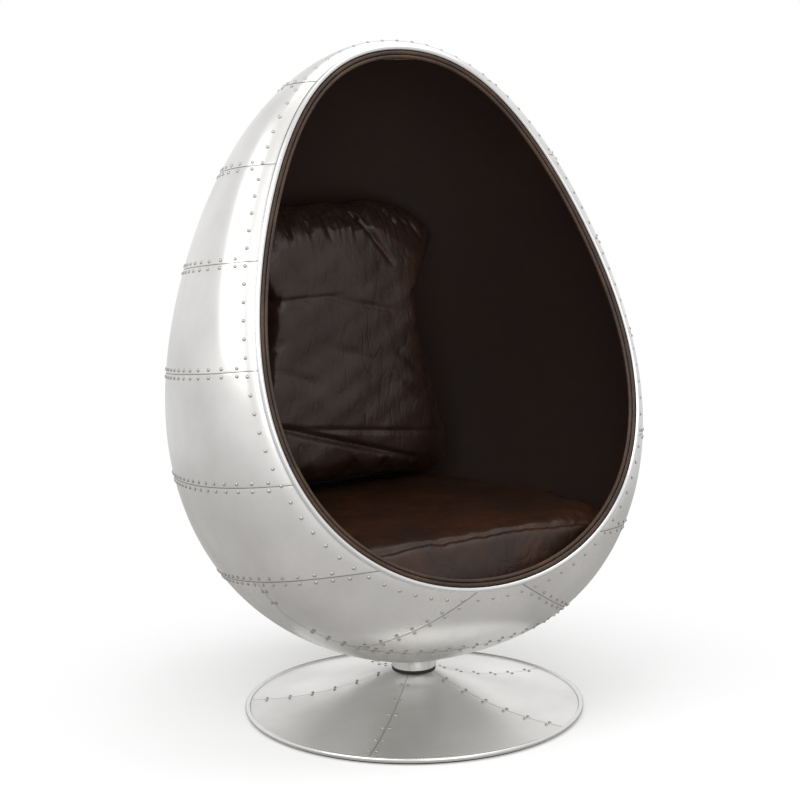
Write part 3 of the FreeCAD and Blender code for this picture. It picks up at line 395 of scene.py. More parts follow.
def grid_mesh(name: str, grid: np.ndarray, close_rows: bool, close_columns: bool) -> bpy.types.Mesh:
    """Turns a grid of points into a mesh of quads.

    Args:
        name: the mesh's name.
        grid: points in rows and columns.
        close_rows: whether the last row joins the first.
        close_columns: whether the last column joins the first.

    Returns:
        The mesh, with its faces smooth.
    """
    rows, columns = grid.shape[:2]
    index = np.arange(rows * columns).reshape(rows, columns)
    index = np.vstack([index, index[:1]]) if close_rows else index
    index = np.hstack([index, index[:, :1]]) if close_columns else index
    quads = np.stack([index[:-1, :-1], index[1:, :-1], index[1:, 1:], index[:-1, 1:]], -1).reshape(-1, 4)
    mesh = bpy.data.meshes.new(name)
    mesh.from_pydata(grid.reshape(-1, 3).tolist(), [], quads.tolist())
    mesh.polygons.foreach_set("use_smooth", np.ones(len(mesh.polygons), bool))
    mesh.update()
    return mesh


def vertex_array(mesh: bpy.types.Mesh) -> np.ndarray:
    """All vertices of a mesh as rows of three."""
    values = np.zeros(len(mesh.vertices) * 3, np.float32)
    mesh.vertices.foreach_get("co", values)
    return values.reshape(-1, 3).astype(float)


def write_vertices(mesh: bpy.types.Mesh, points: np.ndarray) -> None:
    """Puts rows of three back as the vertices of a mesh."""
    mesh.vertices.foreach_set("co", points.astype(np.float32).ravel())
    mesh.update()


def add_object(name: str, mesh: bpy.types.Mesh) -> bpy.types.Object:
    """Links a mesh to the scene as an object at the origin."""
    piece = bpy.data.objects.new(name, mesh)
    bpy.context.scene.collection.objects.link(piece)
    return piece


def baked(piece: bpy.types.Object) -> bpy.types.Mesh:
    """New mesh of a piece with its modifiers applied."""
    graph = bpy.context.evaluated_depsgraph_get()
    graph.update()
    return bpy.data.meshes.new_from_object(piece.evaluated_get(graph))


def smoothed_copy(node: bpy.types.Object, name: str, outward: Callable[[np.ndarray], np.ndarray],
                  least: float = 0.6) -> bpy.types.Object:
    """Copies a sheet and gives its two faces the normals of the true curved surface.

    Each corner gets the surface's own direction, turned to the side that its triangle faces. Corners of
    triangles that stand across the surface, which are the cut edges, keep the triangle's direction.

    Args:
        node: the solid's object.
        name: the new piece's name.
        outward: the surface's direction at an array of points.
        least: cosine to the surface's direction below which a triangle counts as a cut edge.

    Returns:
        The new piece.
    """
    mesh = node.data.copy()
    mesh.materials.clear()
    corners = np.zeros(len(mesh.loops), np.int32)
    mesh.loops.foreach_get("vertex_index", corners)
    faces = np.zeros(len(mesh.polygons) * 3, np.float32)
    mesh.polygons.foreach_get("normal", faces)
    flat = np.repeat(faces.reshape(-1, 3), 3, axis=0)
    curved = outward(vertex_array(mesh))[corners]
    side = np.sum(flat * curved, axis=1)[:, None]
    normals = np.where(np.abs(side) > least, curved * np.sign(side), flat)
    mesh.polygons.foreach_set("use_smooth", np.ones(len(mesh.polygons), bool))
    mesh.edges.foreach_set("use_edge_sharp", np.ones(len(mesh.edges), bool))
    mesh.normals_split_custom_set(normals.tolist())
    return add_object(name, mesh)


@dataclass(frozen=True)
class Flare:
    """A hollow curve that is turned about the swivel axis: an arc round a centre outside it."""

    centre_radius: float
    centre_height: float

    @staticmethod
    def between(low: tuple[float, float], high: tuple[float, float], radius: float) -> Flare:
        """Arc through two (radius, height) points, with its centre on the outer side."""
        start, end = np.array(low), np.array(high)
        chord = end - start
        reach = math.sqrt(radius**2 - (chord @ chord) / 4)
        side = np.array([chord[1], -chord[0]]) / np.linalg.norm(chord)
        centre = (start + end) / 2 + side * reach
        return Flare(float(centre[0]), float(centre[1]))

    def outward(self, points: np.ndarray) -> np.ndarray:
        """Direction from each point to the arc's centre in the point's own upright plane."""
        radius = np.maximum(np.hypot(points[:, 0], points[:, 1]), TINY)
        across = self.centre_radius - radius
        up = self.centre_height - points[:, 2]
        size = np.hypot(across, up)
        flat = (across / size / radius)[:, None] * points[:, :2]
        return np.concatenate([flat, (up / size)[:, None]], axis=1)


# Metal finishes


@dataclass(frozen=True)
class SheetFinish:
    """Soft aluminium sheet, formed by hand and buffed.

    Buffing leaves a satin gleam with paler and greyer patches a hand wide, and the sheet dips a
    little at each riveted edge and rolls in towards the opening. A darker line along each seam is
    painted seam shade together with dirt.
    """

    name: str
    edges: tuple[tuple[Plane, ...], ...] = ()
    rim: Plane | None = None
    tone: float = 0.0
    tone_shift: Point = (3.1, 1.7, 2.3)
    pale: str = "E3E2E0"
    grey: str = "CFCECC"
    patch_mm: float = 150.0
    rub_mm: float = 16.0
    roughness: float = 0.27
    edge_dip_mm: float = 0.22
    edge_reach_mm: float = 5.0
    # Colour, share and reach of the darker seam line: painted seam shade together with dirt.
    seam_shade_and_dirt: str = "858381"
    seam_shade_and_dirt_share: float = 0.4
    seam_shade_and_dirt_reach_mm: tuple[float, float] = (0.4, 1.8)
    roll_mm: float = 2.6
    roll_reach_mm: float = 13.0
    wave_mm: float = 240.0
    wave_depth_mm: float = 1.2
    rub_depth_mm: float = 0.03

    def _distance(self, tree: bpy.types.NodeTree, place: bpy.types.NodeSocket, plane: Plane) -> bpy.types.NodeSocket:
        """Socket with the signed distance of the shaded point from a plane."""
        dot = add(tree, "ShaderNodeVectorMath", {0: place, 1: plane.normal}, operation="DOT_PRODUCT")
        return maths(tree, "SUBTRACT", dot.outputs["Value"], plane.offset)

    def _from_edge(self, tree: bpy.types.NodeTree, place: bpy.types.NodeSocket) -> bpy.types.NodeSocket | None:
        """Socket with the distance from the sheet's nearest seam: the least over its groups of seams,
        where a group with several planes counts the farthest of them."""
        nearest = None
        for group in self.edges:
            farthest = self._distance(tree, place, group[0])
            for plane in group[1:]:
                farthest = maths(tree, "MAXIMUM", farthest, self._distance(tree, place, plane))
            nearest = farthest if nearest is None else maths(tree, "MINIMUM", nearest, farthest)
        return nearest

    def build(self) -> bpy.types.Material:
        """Makes the material.

        Returns:
            The material.
        """
        material, tree, place = new_material(self.name)
        shift = tuple(self.tone * step for step in self.tone_shift)
        moved = add(tree, "ShaderNodeVectorMath", {0: place, 1: shift}, operation="ADD").outputs[0]
        patch = noise(tree, moved, self.patch_mm, 2.0)
        rub = noise(tree, moved, self.rub_mm, 4.0, roughness=0.6)
        both = maths(tree, "MULTIPLY_ADD", rub, 0.18, patch)
        colour = blend(tree, ranged(tree, both, 0.35, 0.82), linear(self.grey), linear(self.pale))
        gleam = ranged(tree, both, 0.4, 1.0, self.roughness + 0.05, self.roughness - 0.04)
        wave = noise(tree, moved, self.wave_mm, 2.0)
        height = maths(tree, "MULTIPLY", wave, self.wave_depth_mm / MM)
        height = maths(tree, "MULTIPLY_ADD", rub, self.rub_depth_mm / MM, height)
        edge = self._from_edge(tree, place)
        if edge is not None:
            dip = self._dip(tree, edge, self.edge_dip_mm, self.edge_reach_mm)
            height = maths(tree, "SUBTRACT", height, dip)
            # Darker line along each seam: painted shade of the seam gap together with dirt.
            near, far = self.seam_shade_and_dirt_reach_mm
            seam_shade_and_dirt = ranged(tree, edge, near / MM, far / MM, self.seam_shade_and_dirt_share, 0.0, smooth=True)
            colour = blend(tree, seam_shade_and_dirt, colour, linear(self.seam_shade_and_dirt))
        if self.rim is not None:
            behind = self._distance(tree, place, self.rim.flipped())
            height = maths(tree, "SUBTRACT", height, self._dip(tree, behind, self.roll_mm, self.roll_reach_mm))
        shade(tree, colour, gleam, height, Metallic=1.0)
        return material

    @staticmethod
    def _dip(tree: bpy.types.NodeTree, distance: bpy.types.NodeSocket, depth_mm: float,
             reach_mm: float) -> bpy.types.NodeSocket:
        """Socket with depth times (1 - distance / reach) squared, and zero beyond the reach."""
        near = ranged(tree, distance, 0.0, reach_mm / MM, 1.0, 0.0)
        return maths(tree, "MULTIPLY", maths(tree, "POWER", near, 2.0), depth_mm / MM)


@dataclass(frozen=True)
class MetalFinish:
    """Bare metal with fine tool marks, which break its gleam a little."""

    name: str
    colour: str
    marked: str
    roughness: float
    mark_mm: float = 6.0
    depth_mm: float = 0.02

    def build(self) -> bpy.types.Material:
        """Makes the material."""
        material, tree, place = new_material(self.name)
        marks = noise(tree, place, self.mark_mm, 4.0)
        colour = blend(tree, marks, linear(self.colour), linear(self.marked))
        gleam = ranged(tree, marks, 0.0, 1.0, self.roughness - 0.05, self.roughness + 0.07)
        shade(tree, colour, gleam, maths(tree, "MULTIPLY", marks, self.depth_mm / MM), Metallic=1.0)
        return material


# Other hard finishes


@dataclass(frozen=True)
class MouldedFinish:
    """Rubber, primed steel or glass fibre: a dull skin with a fine orange-peel texture."""

    name: str
    colour: str
    dusty: str
    roughness: float
    grain_mm: float = 2.5
    depth_mm: float = 0.05
    dust_mm: float = 1000 / 18

    def build(self) -> bpy.types.Material:
        """Makes the material."""
        material, tree, place = new_material(self.name)
        grain = noise(tree, place, self.grain_mm, 2.0)
        dusty = ranged(tree, noise(tree, place, self.dust_mm, 5.0), 0.45, 0.75)
        colour = blend(tree, dusty, linear(self.colour), linear(self.dusty))
        shade(tree, colour, self.roughness, maths(tree, "MULTIPLY", grain, self.depth_mm / MM))
        return material


@dataclass(frozen=True)
class WoodFinish:
    """Sanded wood, with growth rings drawn out into grain along X."""

    name: str
    early: str
    late: str
    ring_mm: float = 7.0
    roughness: float = 0.6
    drawn: float = 0.12
    depth_mm: float = 0.1

    def build(self) -> bpy.types.Material:
        """Makes the material."""
        material, tree, place = new_material(self.name)
        drawn = add(tree, "ShaderNodeMapping", {"Vector": place, "Scale": (self.drawn, 1.0, 1.0)}).outputs[0]
        grain = noise(tree, drawn, self.ring_mm, 6.0, distortion=0.8)
        colour = blend(tree, grain, linear(self.early), linear(self.late))
        shade(tree, colour, self.roughness, maths(tree, "MULTIPLY", grain, self.depth_mm / MM))
        return material


# Soft finishes


@dataclass(frozen=True)
class LeatherFinish:
    """Waxed dark brown leather.

    The hide has pebbled pores, fine creases that wander where it is bent, and waxy patches that are
    a little paler. The creases are darkened towards a shadow colour, which is painted shade. Pores
    of 1 mm are drawn 3 mm wide, so that they show.
    """

    name: str
    deep: str
    worn: str
    roughness: float
    pore_mm: float = 3.2
    pore_depth_mm: float = 0.10
    crease_mm: float = 34.0
    crease_depth_mm: float = 0.5
    # Share of painted shade that darkens the creases.
    painted_crease_shade: float = 0.2
    buckle_mm: float = 46.0
    buckle_depth_mm: float = 1.6
    drawn: float = 1.0
    patch_mm: float = 1000 / 9
    crease_width: float = 0.05
    shadow: str = "0A0706"
    gleam_level: float = 0.36

    def build(self) -> bpy.types.Material:
        """Makes the material."""
        material, tree, place = new_material(self.name)
        pores = add(tree, "ShaderNodeTexVoronoi", {"Vector": place, "Scale": MM / self.pore_mm}, feature="F1")
        height = maths(tree, "MULTIPLY", pores.outputs["Distance"], -self.pore_depth_mm / MM)
        along = add(tree, "ShaderNodeMapping", {"Vector": place, "Scale": (1.0, 1.0, self.drawn)}).outputs[0]
        buckle = noise(tree, along, self.buckle_mm, 4.0, roughness=0.6, distortion=0.4)
        height = maths(tree, "MULTIPLY_ADD", buckle, self.buckle_depth_mm / MM, height)
        patch = noise(tree, place, self.patch_mm, 6.0, roughness=0.65)
        colour = blend(tree, ranged(tree, patch, 0.42, 0.72), linear(self.deep), linear(self.worn))
        gleam = ranged(tree, patch, 0.3, 0.7, self.roughness + 0.07, self.roughness - 0.07)
        if self.crease_depth_mm:
            bend = noise(tree, along, self.crease_mm, 2.5, distortion=0.9)
            away = maths(tree, "ABSOLUTE", maths(tree, "SUBTRACT", bend, 0.5))
            crease = ranged(tree, away, 0.0, self.crease_width, 1.0, 0.0, smooth=True)
            height = maths(tree, "MULTIPLY_ADD", crease, -self.crease_depth_mm / MM, height)
            # Painted shade: the creases are darkened towards the shadow colour.
            colour = blend(tree, maths(tree, "MULTIPLY", crease, self.painted_crease_shade), colour, linear(self.shadow))
        shade(tree, colour, gleam, height, Specular_IOR_Level=self.gleam_level)
        return material


@dataclass(frozen=True)
class FoamFinish:
    """Cut upholstery foam with open cells."""

    name: str
    colour: str
    shadow: str
    cell_mm: float = 3.0
    depth_mm: float = 0.6
    roughness: float = 0.95

    def build(self) -> bpy.types.Material:
        """Makes the material."""
        material, tree, place = new_material(self.name)
        cells = add(tree, "ShaderNodeTexVoronoi", {"Vector": place, "Scale": MM / self.cell_mm},
                    feature="F1").outputs["Distance"]
        colour = blend(tree, cells, linear(self.shadow), linear(self.colour))
        shade(tree, colour, self.roughness, maths(tree, "MULTIPLY", cells, self.depth_mm / MM))
        return material


# Each slot of the record with its finish
SLOT_FINISHES = {
    "floor_rubber": MouldedFinish("Moulded black rubber", "161616", "262525", 0.75),
    "pressed_steel": MouldedFinish("Primed pressed steel", "2B2C2E", "3A3A3A", 0.5),
    "polished_aluminium": MetalFinish("Polished rolled aluminium", "DEDEDE", "D2D2D1", 0.2, 22.0, 0.03),
    "rivet_aluminium": MetalFinish("Domed aluminium rivet", "BDBBB8", "A3A19E", 0.24, 3.0),
    "machined_steel": MetalFinish("Turned steel", "A9ABAE", "97999C", 0.3, 1.5),
    "plated_fasteners": MetalFinish("Zinc plated steel", "B9BABC", "A5A6A8", 0.34, 2.0),
    "bearing_chrome": MetalFinish("Ground steel ball", "D9DADC", "D0D1D3", 0.08, 4.0, 0.002),
    "brass_cage": MetalFinish("Stamped brass", "C9A45C", "B58F49", 0.3, 3.0),
    "seal_rubber": MouldedFinish("Moulded black seal rubber", "0F0F0F", "1C1C1C", 0.6),
    "bronze_bush": MetalFinish("Sintered bronze", "A98054", "8F6C46", 0.45, 1.2),
    "birch_plywood": WoodFinish("Sanded birch plywood", "D8C096", "BF9F70"),
    "beech_blocks": WoodFinish("Sawn beech", "CBA57A", "AE855B", 5.0),
    "moulded_shell": MouldedFinish("Hand-laid glass fibre", "A8A591", "8F8C7A", 0.55, 6.0, 0.12),
    "upholstery_foam": FoamFinish("Cut upholstery foam", "D8CDA0", "9A8F68"),
    "piping_leather": LeatherFinish("Leather rolled over cord", "3B2B22", "5C4433", 0.30, pore_mm=2.4,
                                    pore_depth_mm=0.08, crease_mm=22.0, crease_depth_mm=0.15, buckle_mm=18.0,
                                    buckle_depth_mm=0.3),
    "lining_leather": LeatherFinish("Leather glued to the shell", "2B1F1C", "34261F", 0.5, pore_mm=3.4,
                                    pore_depth_mm=0.06, crease_depth_mm=0.0, buckle_mm=170.0, buckle_depth_mm=1.2),
    "seat_leather": LeatherFinish("Waxed seat leather", "2E1C12", "4A2C1A", 0.40, pore_depth_mm=0.08,
                                  crease_mm=60.0, crease_depth_mm=0.25, painted_crease_shade=0.15, buckle_mm=75.0,
                                  buckle_depth_mm=2.2),
    "back_leather": LeatherFinish("Crumpled back leather", "2C1C15", "432F25", 0.36, crease_mm=55.0,
                                  crease_depth_mm=0.25, painted_crease_shade=0.1, buckle_mm=24.0, buckle_depth_mm=1.5,
                                  drawn=0.45),
}


# Studio


@dataclass(frozen=True)
class StudioCamera:
    """Camera solved from the photograph's round base and flat opening."""

    azimuth: float = math.radians(-32.85)
    height: float = 1.07743
    distance: float = 3.1075
    pitch: float = math.radians(-9.46)
    yaw: float = math.radians(0.34)
    roll: float = math.radians(-0.77)
    focal_pixels: float = 1788.52
    image_pixels: float = 800.0
    sensor_mm: float = 36.0

    def place(self) -> None:
        """Adds the camera: forward from azimuth, yaw and pitch, then turned by the roll."""
        turn = self.azimuth + self.yaw
        forward = np.array([
            -math.sin(turn) * math.cos(self.pitch),
            math.cos(turn) * math.cos(self.pitch),
            math.sin(self.pitch),
        ])
        level = np.array([math.cos(turn), math.sin(turn), 0.0])
        top = np.cross(level, forward)
        right = level * math.cos(self.roll) + top * math.sin(self.roll)
        up = top * math.cos(self.roll) - level * math.sin(self.roll)
        data = bpy.data.cameras.new("camera")
        data.sensor_width = self.sensor_mm
        data.lens = self.focal_pixels * self.sensor_mm / self.image_pixels
        data.clip_end = 60.0
        camera = bpy.data.objects.new("camera", data)
        position = (math.sin(self.azimuth) * self.distance, -math.cos(self.azimuth) * self.distance, self.height)
        camera.matrix_world = Matrix([
            (right[0], up[0], -forward[0], position[0]),
            (right[1], up[1], -forward[1], position[1]),
            (right[2], up[2], -forward[2], position[2]),
            (0, 0, 0, 1),
        ])
        bpy.context.scene.collection.objects.link(camera)
        bpy.context.scene.camera = camera


@dataclass(frozen=True)
class SoftLamp:
    """A square lamp that points at the chair."""

    name: str
    azimuth: float
    elevation: float
    distance: float
    size: float
    watts: float

    def place(self) -> None:
        """Adds the lamp on a sphere round the middle of the chair."""
        turn, lift = math.radians(self.azimuth), math.radians(self.elevation)
        back = np.array([math.sin(turn) * math.cos(lift), -math.cos(turn) * math.cos(lift), math.sin(lift)])
        side = np.cross([0.0, 0.0, 1.0], back)
        side /= np.linalg.norm(side)
        top = np.cross(back, side)
        at = back * self.distance + np.array([0.0, 0.1, 0.6])
        data = bpy.data.lights.new(self.name, "AREA")
        data.energy, data.size = self.watts, self.size
        lamp = bpy.data.objects.new(self.name, data)
        lamp.matrix_world = Matrix([(*row, place) for row, place in zip(np.stack([side, top, back], 1), at)]
                                   + [(0, 0, 0, 1)])
        bpy.context.scene.collection.objects.link(lamp)


@dataclass(frozen=True)
class Studio:
    """White room, pale floor and soft lamps."""

    fill: float = 0.58
    floor_side: float = 30.0
    shadow_reach: tuple[float, float] = (0.38, 0.85)
    far_glow: float = 0.8
    glow_reach: tuple[float, float] = (0.9, 2.6)
    paper: str = "D6D4D2"
    shown_paper: str = "F2F2F2"
    shown_lift: float = 0.24
    white: tuple[float, float, float, float] = (1.0, 1.0, 1.0, 1.0)
    lamps: tuple[SoftLamp, ...] = (
        SoftLamp("key", -75.0, 40.0, 3.2, 2.4, 32.0),
        SoftLamp("front", -10.0, 30.0, 4.0, 2.2, 22.0),
        SoftLamp("top", 60.0, 70.0, 3.2, 2.4, 20.0),
    )

    @staticmethod
    def _seen(tree: bpy.types.NodeTree) -> bpy.types.NodeSocket:
        """Socket that is 1 for rays from the camera, a gleam or a clear piece."""
        rays = add(tree, "ShaderNodeLightPath").outputs
        return maths(tree, "MAXIMUM", maths(tree, "MAXIMUM", rays["Is Camera Ray"], rays["Is Glossy Ray"]),
                     rays["Is Transmission Ray"])

    def _world(self) -> None:
        """White surroundings: full white where seen, and the fill level for lighting."""
        world = bpy.data.worlds.new("studio")
        bpy.context.scene.world = world
        world.use_nodes = True
        tree = world.node_tree
        tree.nodes.clear()
        strength = add(tree, "ShaderNodeMix", {0: self._seen(tree), 2: self.fill, 3: 1.0}, data_type="FLOAT")
        back = add(tree, "ShaderNodeBackground", {"Color": self.white, "Strength": strength.outputs[0]})
        add(tree, "ShaderNodeOutputWorld", {"Surface": back.outputs[0]})

    def _floor(self) -> None:
        """Grey paper floor, which the camera sees as white that keeps the chair's shadow near the base."""
        half = self.floor_side / 2
        corners = np.array([[(-half, -half, 0), (-half, half, 0)], [(half, -half, 0), (half, half, 0)]], float)
        floor = add_object("floor", grid_mesh("floor", corners, False, False))
        material, tree, place = new_material("Grey paper floor")
        grey = add(tree, "ShaderNodeBsdfDiffuse", {"Color": linear(self.paper)})
        glow = add(tree, "ShaderNodeEmission", {"Color": self.white, "Strength": self.far_glow})
        pale = add(tree, "ShaderNodeBsdfDiffuse", {"Color": linear(self.shown_paper)})
        lift = add(tree, "ShaderNodeEmission", {"Color": self.white, "Strength": self.shown_lift})
        near = add(tree, "ShaderNodeAddShader", {0: pale.outputs[0], 1: lift.outputs[0]})
        far = add(tree, "ShaderNodeEmission", {"Color": self.white, "Strength": 1.0})
        reach = add(tree, "ShaderNodeVectorMath", {0: place}, operation="LENGTH").outputs["Value"]
        away = ranged(tree, reach, *self.shadow_reach, smooth=True)
        shown = add(tree, "ShaderNodeMixShader", {0: away, 1: near.outputs[0], 2: far.outputs[0]})
        beyond = ranged(tree, reach, *self.glow_reach, smooth=True)
        lighting = add(tree, "ShaderNodeMixShader", {0: beyond, 1: grey.outputs[0], 2: glow.outputs[0]})
        camera_ray = add(tree, "ShaderNodeLightPath").outputs["Is Camera Ray"]
        mixed = add(tree, "ShaderNodeMixShader", {0: camera_ray, 1: lighting.outputs[0], 2: shown.outputs[0]})
        add(tree, "ShaderNodeOutputMaterial", {"Surface": mixed.outputs[0]})
        floor.data.materials.append(material)

    def build(self) -> None:
        """Adds the world, the floor and the lamps, and sets the view."""
        self._world()
        self._floor()
        for lamp in self.lamps:
            lamp.place()
        bpy.context.scene.view_settings.view_transform = "Standard"


# The chair


@dataclass(frozen=True)
class Wardrobe:
    """The finishes by record slot, each made once."""

    materials: dict[str, bpy.types.Material]

    @staticmethod
    def open() -> Wardrobe:
        """Makes every slot's material."""
        return Wardrobe({slot: finish.build() for slot, finish in SLOT_FINISHES.items()})

    def dress(self, piece: bpy.types.Object, slot: str) -> None:
        """Gives a piece the material of a slot as its only one."""
        piece.data.materials.clear()
        piece.data.materials.append(self.materials[slot])


def seated(piece: bpy.types.Object, body: Body, node: str) -> bpy.types.Object:
    """Puts a piece on a body in place of a node.

    Args:
        piece: the new piece.
        body: the body that carries it.
        node: the solid that it replaces.

    Returns:
        The piece.
    """
    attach(piece, body.value)
    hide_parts(node)
    return piece


@dataclass(frozen=True)
class Pedestal:
    """Flared base with its rolled edge."""

    radius: float = 0.305
    edge_height: float = 0.0082
    flare_radius: float = 0.610
    bead_radius: float = 0.0045
    bead_level: float = 0.0075
    bead_steps: tuple[int, int] = (256, 20)
    seam_degrees: tuple[float, ...] = (4.0, 76.0, 145.0, 222.0, 297.0)
    tones: tuple[float, float] = (0.2, 0.37)
    slot: str = "satin_aluminium"

    def _gore_edges(self, start: float, stop: float) -> tuple[tuple[Plane, ...], ...]:
        """The two upright seam planes of a base sheet, positive on the sheet's side."""
        first, last = math.radians(start), math.radians(stop)
        low = Plane.through((0, 0, 0), (-math.sin(first), math.cos(first), 0))
        high = Plane.through((0, 0, 0), (math.sin(last), -math.cos(last), 0))
        return ((low,), (high,))

    def build(self, nodes: dict[str, bpy.types.Object], wardrobe: Wardrobe) -> list[bpy.types.Object]:
        """Makes the sheets and the rolled edge.

        Args:
            nodes: the solids by name.
            wardrobe: the finishes.

        Returns:
            The new pieces.
        """
        flare = Flare(self.radius, self.edge_height + self.flare_radius)
        pieces = []
        for number, start in enumerate(self.seam_degrees):
            stop = self.seam_degrees[(number + 1) % len(self.seam_degrees)]
            node = f"base_sheet_{number + 1}"
            piece = smoothed_copy(nodes[node], f"base_panel_{number + 1}", flare.outward)
            finish = SheetFinish(f"Buffed base sheet {number + 1}", self._gore_edges(start, stop),
                                 tone=self.tones[0] + self.tones[1] * number, pale="ECEBE9", grey="DCDBD9",
                                 roughness=0.36)
            piece.data.materials.append(finish.build())
            pieces.append(seated(piece, Body.BASE, node))
        angle, turn = (2 * np.pi * np.arange(steps) / steps for steps in self.bead_steps)
        reach = self.radius - self.bead_radius + self.bead_radius * np.cos(turn)
        height = self.bead_level + self.bead_radius * np.sin(turn)
        grid = np.stack([
            reach[None, :] * np.cos(angle)[:, None],
            reach[None, :] * np.sin(angle)[:, None],
            np.broadcast_to(height, (len(angle), len(turn))),
        ], -1)
        bead = add_object("rolled_base_edge", grid_mesh("rolled_base_edge", grid, True, True))
        wardrobe.dress(bead, "polished_aluminium")
        pieces.append(seated(bead, Body.BASE, "base_bead"))
        return pieces


@dataclass(frozen=True)
class PodSkin:
    """Aluminium sheets of the pod, its rolled lip and the neck collar."""

    egg: Egg = Egg()
    seam_heights: tuple[float, ...] = (0.1895, 0.355, 0.5385, 0.712, 0.868, 1.004)
    low_seam_lean: float = math.radians(11.0)
    side_seam: tuple[float, float, float] = (0.095, 0.305, 79.0)
    chin_seam: tuple[float, float, float] = (0.195, 0.158, 45.0)
    keel_height: float = 0.3864
    keel_slope: tuple[float, float] = (0.70, 0.287)
    gore_degrees: float = 38.0
    skin_setback: float = 0.0043
    lip_radius: float = 0.0045
    lip_outset: float = 0.003
    collar_foot: tuple[float, float] = (0.039, 0.07525)
    collar_top: tuple[float, float] = (0.072, 0.114)
    collar_flare: float = 0.060
    tone_step: float = 0.41
    slot: str = "satin_aluminium"

    def _ring(self, height: float, lean: float) -> Plane:
        """Ring seam plane that crosses the egg's axis at a height along it, positive above."""
        cos, sin = math.cos(self.egg.lean), math.sin(self.egg.lean)
        point = (0.0, height * sin - self.egg.forward, height * cos + self.egg.lift)
        return Plane.through(point, (0.0, math.sin(lean), math.cos(lean)))

    def _tilted(self, seam: tuple[float, float, float]) -> Plane:
        """Bowl seam plane from its place in front of the axis, its height and its slope."""
        slope = math.radians(seam[2])
        return Plane.through((0.0, -seam[0], seam[1]), (0.0, math.sin(slope), -math.cos(slope)))

    def _sheet_edges(self) -> dict[str, tuple[tuple[Plane, ...], ...]]:
        """Seam planes of each sheet, positive on the sheet's side."""
        rings = [self._ring(self.seam_heights[0], self.low_seam_lean)]
        rings += [self._ring(height, self.egg.lean) for height in self.seam_heights[1:]]
        side, chin = self._tilted(self.side_seam), self._tilted(self.chin_seam)
        across, back = self.keel_slope
        keel_right = Plane.through((0, 0, self.keel_height), (across, -back, 1))
        keel_left = Plane.through((0, 0, self.keel_height), (-across, -back, 1))
        gore = math.radians(self.gore_degrees)
        gore_right = Plane.through((0, 0, 0), (math.cos(gore), -math.sin(gore), 0))
        gore_left = Plane.through((0, 0, 0), (-math.cos(gore), -math.sin(gore), 0))
        under_first = (rings[0].flipped(),)
        front = (under_first, (side.flipped(),), (chin.flipped(),))
        edges = {
            "pod_sheet_top": ((rings[-1],),),
            "pod_sheet_keel": (*front, (keel_right.flipped(),), (keel_left.flipped(),)),
            "pod_sheet_front_right": (*front, (keel_right,)),
            "pod_sheet_front_left": (*front, (keel_left,)),
            "pod_sheet_back": (under_first, (gore_right.flipped(),), (gore_left.flipped(),)),
            "pod_sheet_belly": (under_first, (side, chin), (gore_right, gore_left)),
        }
        for number, (low, high) in enumerate(zip(rings, rings[1:]), start=1):
            edges[f"pod_sheet_{number}"] = ((low,), (high.flipped(),))
        return edges

    def build(self, nodes: dict[str, bpy.types.Object], wardrobe: Wardrobe) -> list[bpy.types.Object]:
        """Makes the sheets, the lip and the collar.

        Args:
            nodes: the solids by name.
            wardrobe: the finishes.

        Returns:
            The new pieces.
        """
        rim = Plane(self.egg.opening.normal, self.egg.opening_reach - self.skin_setback)
        pieces = []
        for number, (node, edges) in enumerate(sorted(self._sheet_edges().items())):
            piece = smoothed_copy(nodes[node], node.replace("sheet", "panel"), self.egg.outward)
            finish = SheetFinish(f"Buffed {node.replace('_', ' ')}", edges, rim, tone=self.tone_step * number)
            piece.data.materials.append(finish.build())
            pieces.append(seated(piece, Body.POD, node))
        collar_curve = Flare.between(self.collar_foot, self.collar_top, self.collar_flare)
        collar = smoothed_copy(nodes["neck_collar"], "spun_neck_collar", collar_curve.outward)
        wardrobe.dress(collar, "polished_aluminium")
        pieces.append(seated(collar, Body.POD, "neck_collar"))
        lip = add_object("rolled_lip", rim_tube("rolled_lip", self.egg, self.lip_outset, 0.0, self.lip_radius, 16))
        wardrobe.dress(lip, "polished_aluminium")
        pieces.append(seated(lip, Body.POD, "rim_trim"))
        return pieces


def rim_tube(name: str, egg: Egg, outset: float, drop: float, radius: float, sides: int,
             count: int = 720) -> bpy.types.Mesh:
    """Round tube along the edge of the opening, with a UV map in metres along and turns around.

    The centre line is the edge, moved outwards by the outset and behind the plane by the drop, and
    the section is a circle in the plane of the outward direction and the opening's normal.

    Args:
        name: the mesh's name.
        egg: the egg that the opening cuts.
        outset: distance outside the edge.
        drop: distance behind the opening plane.
        radius: radius of the tube.
        sides: corners of the section.
        count: sections along the tube.

    Returns:
        The mesh.
    """
    edge, away = egg.rim(count)
    centre = edge + away * outset - egg.opening_normal * drop
    turn = 2 * np.pi * np.arange(sides) / sides
    circle = np.cos(turn)[None, :, None] * away[:, None] - np.sin(turn)[None, :, None] * egg.opening_normal
    mesh = grid_mesh(name, centre[:, None] + radius * circle, True, True)
    steps = np.linalg.norm(np.roll(centre, -1, axis=0) - centre, axis=1)
    along = np.concatenate([[0.0], np.cumsum(steps)])
    rows, columns = np.meshgrid(np.arange(count), np.arange(sides), indexing="ij")
    u = np.stack([along[rows], along[rows + 1], along[rows + 1], along[rows]], -1)
    v = np.stack([columns, columns, columns + 1, columns + 1], -1) / sides
    layer = mesh.uv_layers.new(name="along")
    layer.data.foreach_set("uv", np.stack([u, v], -1).astype(np.float32).ravel())
    return mesh


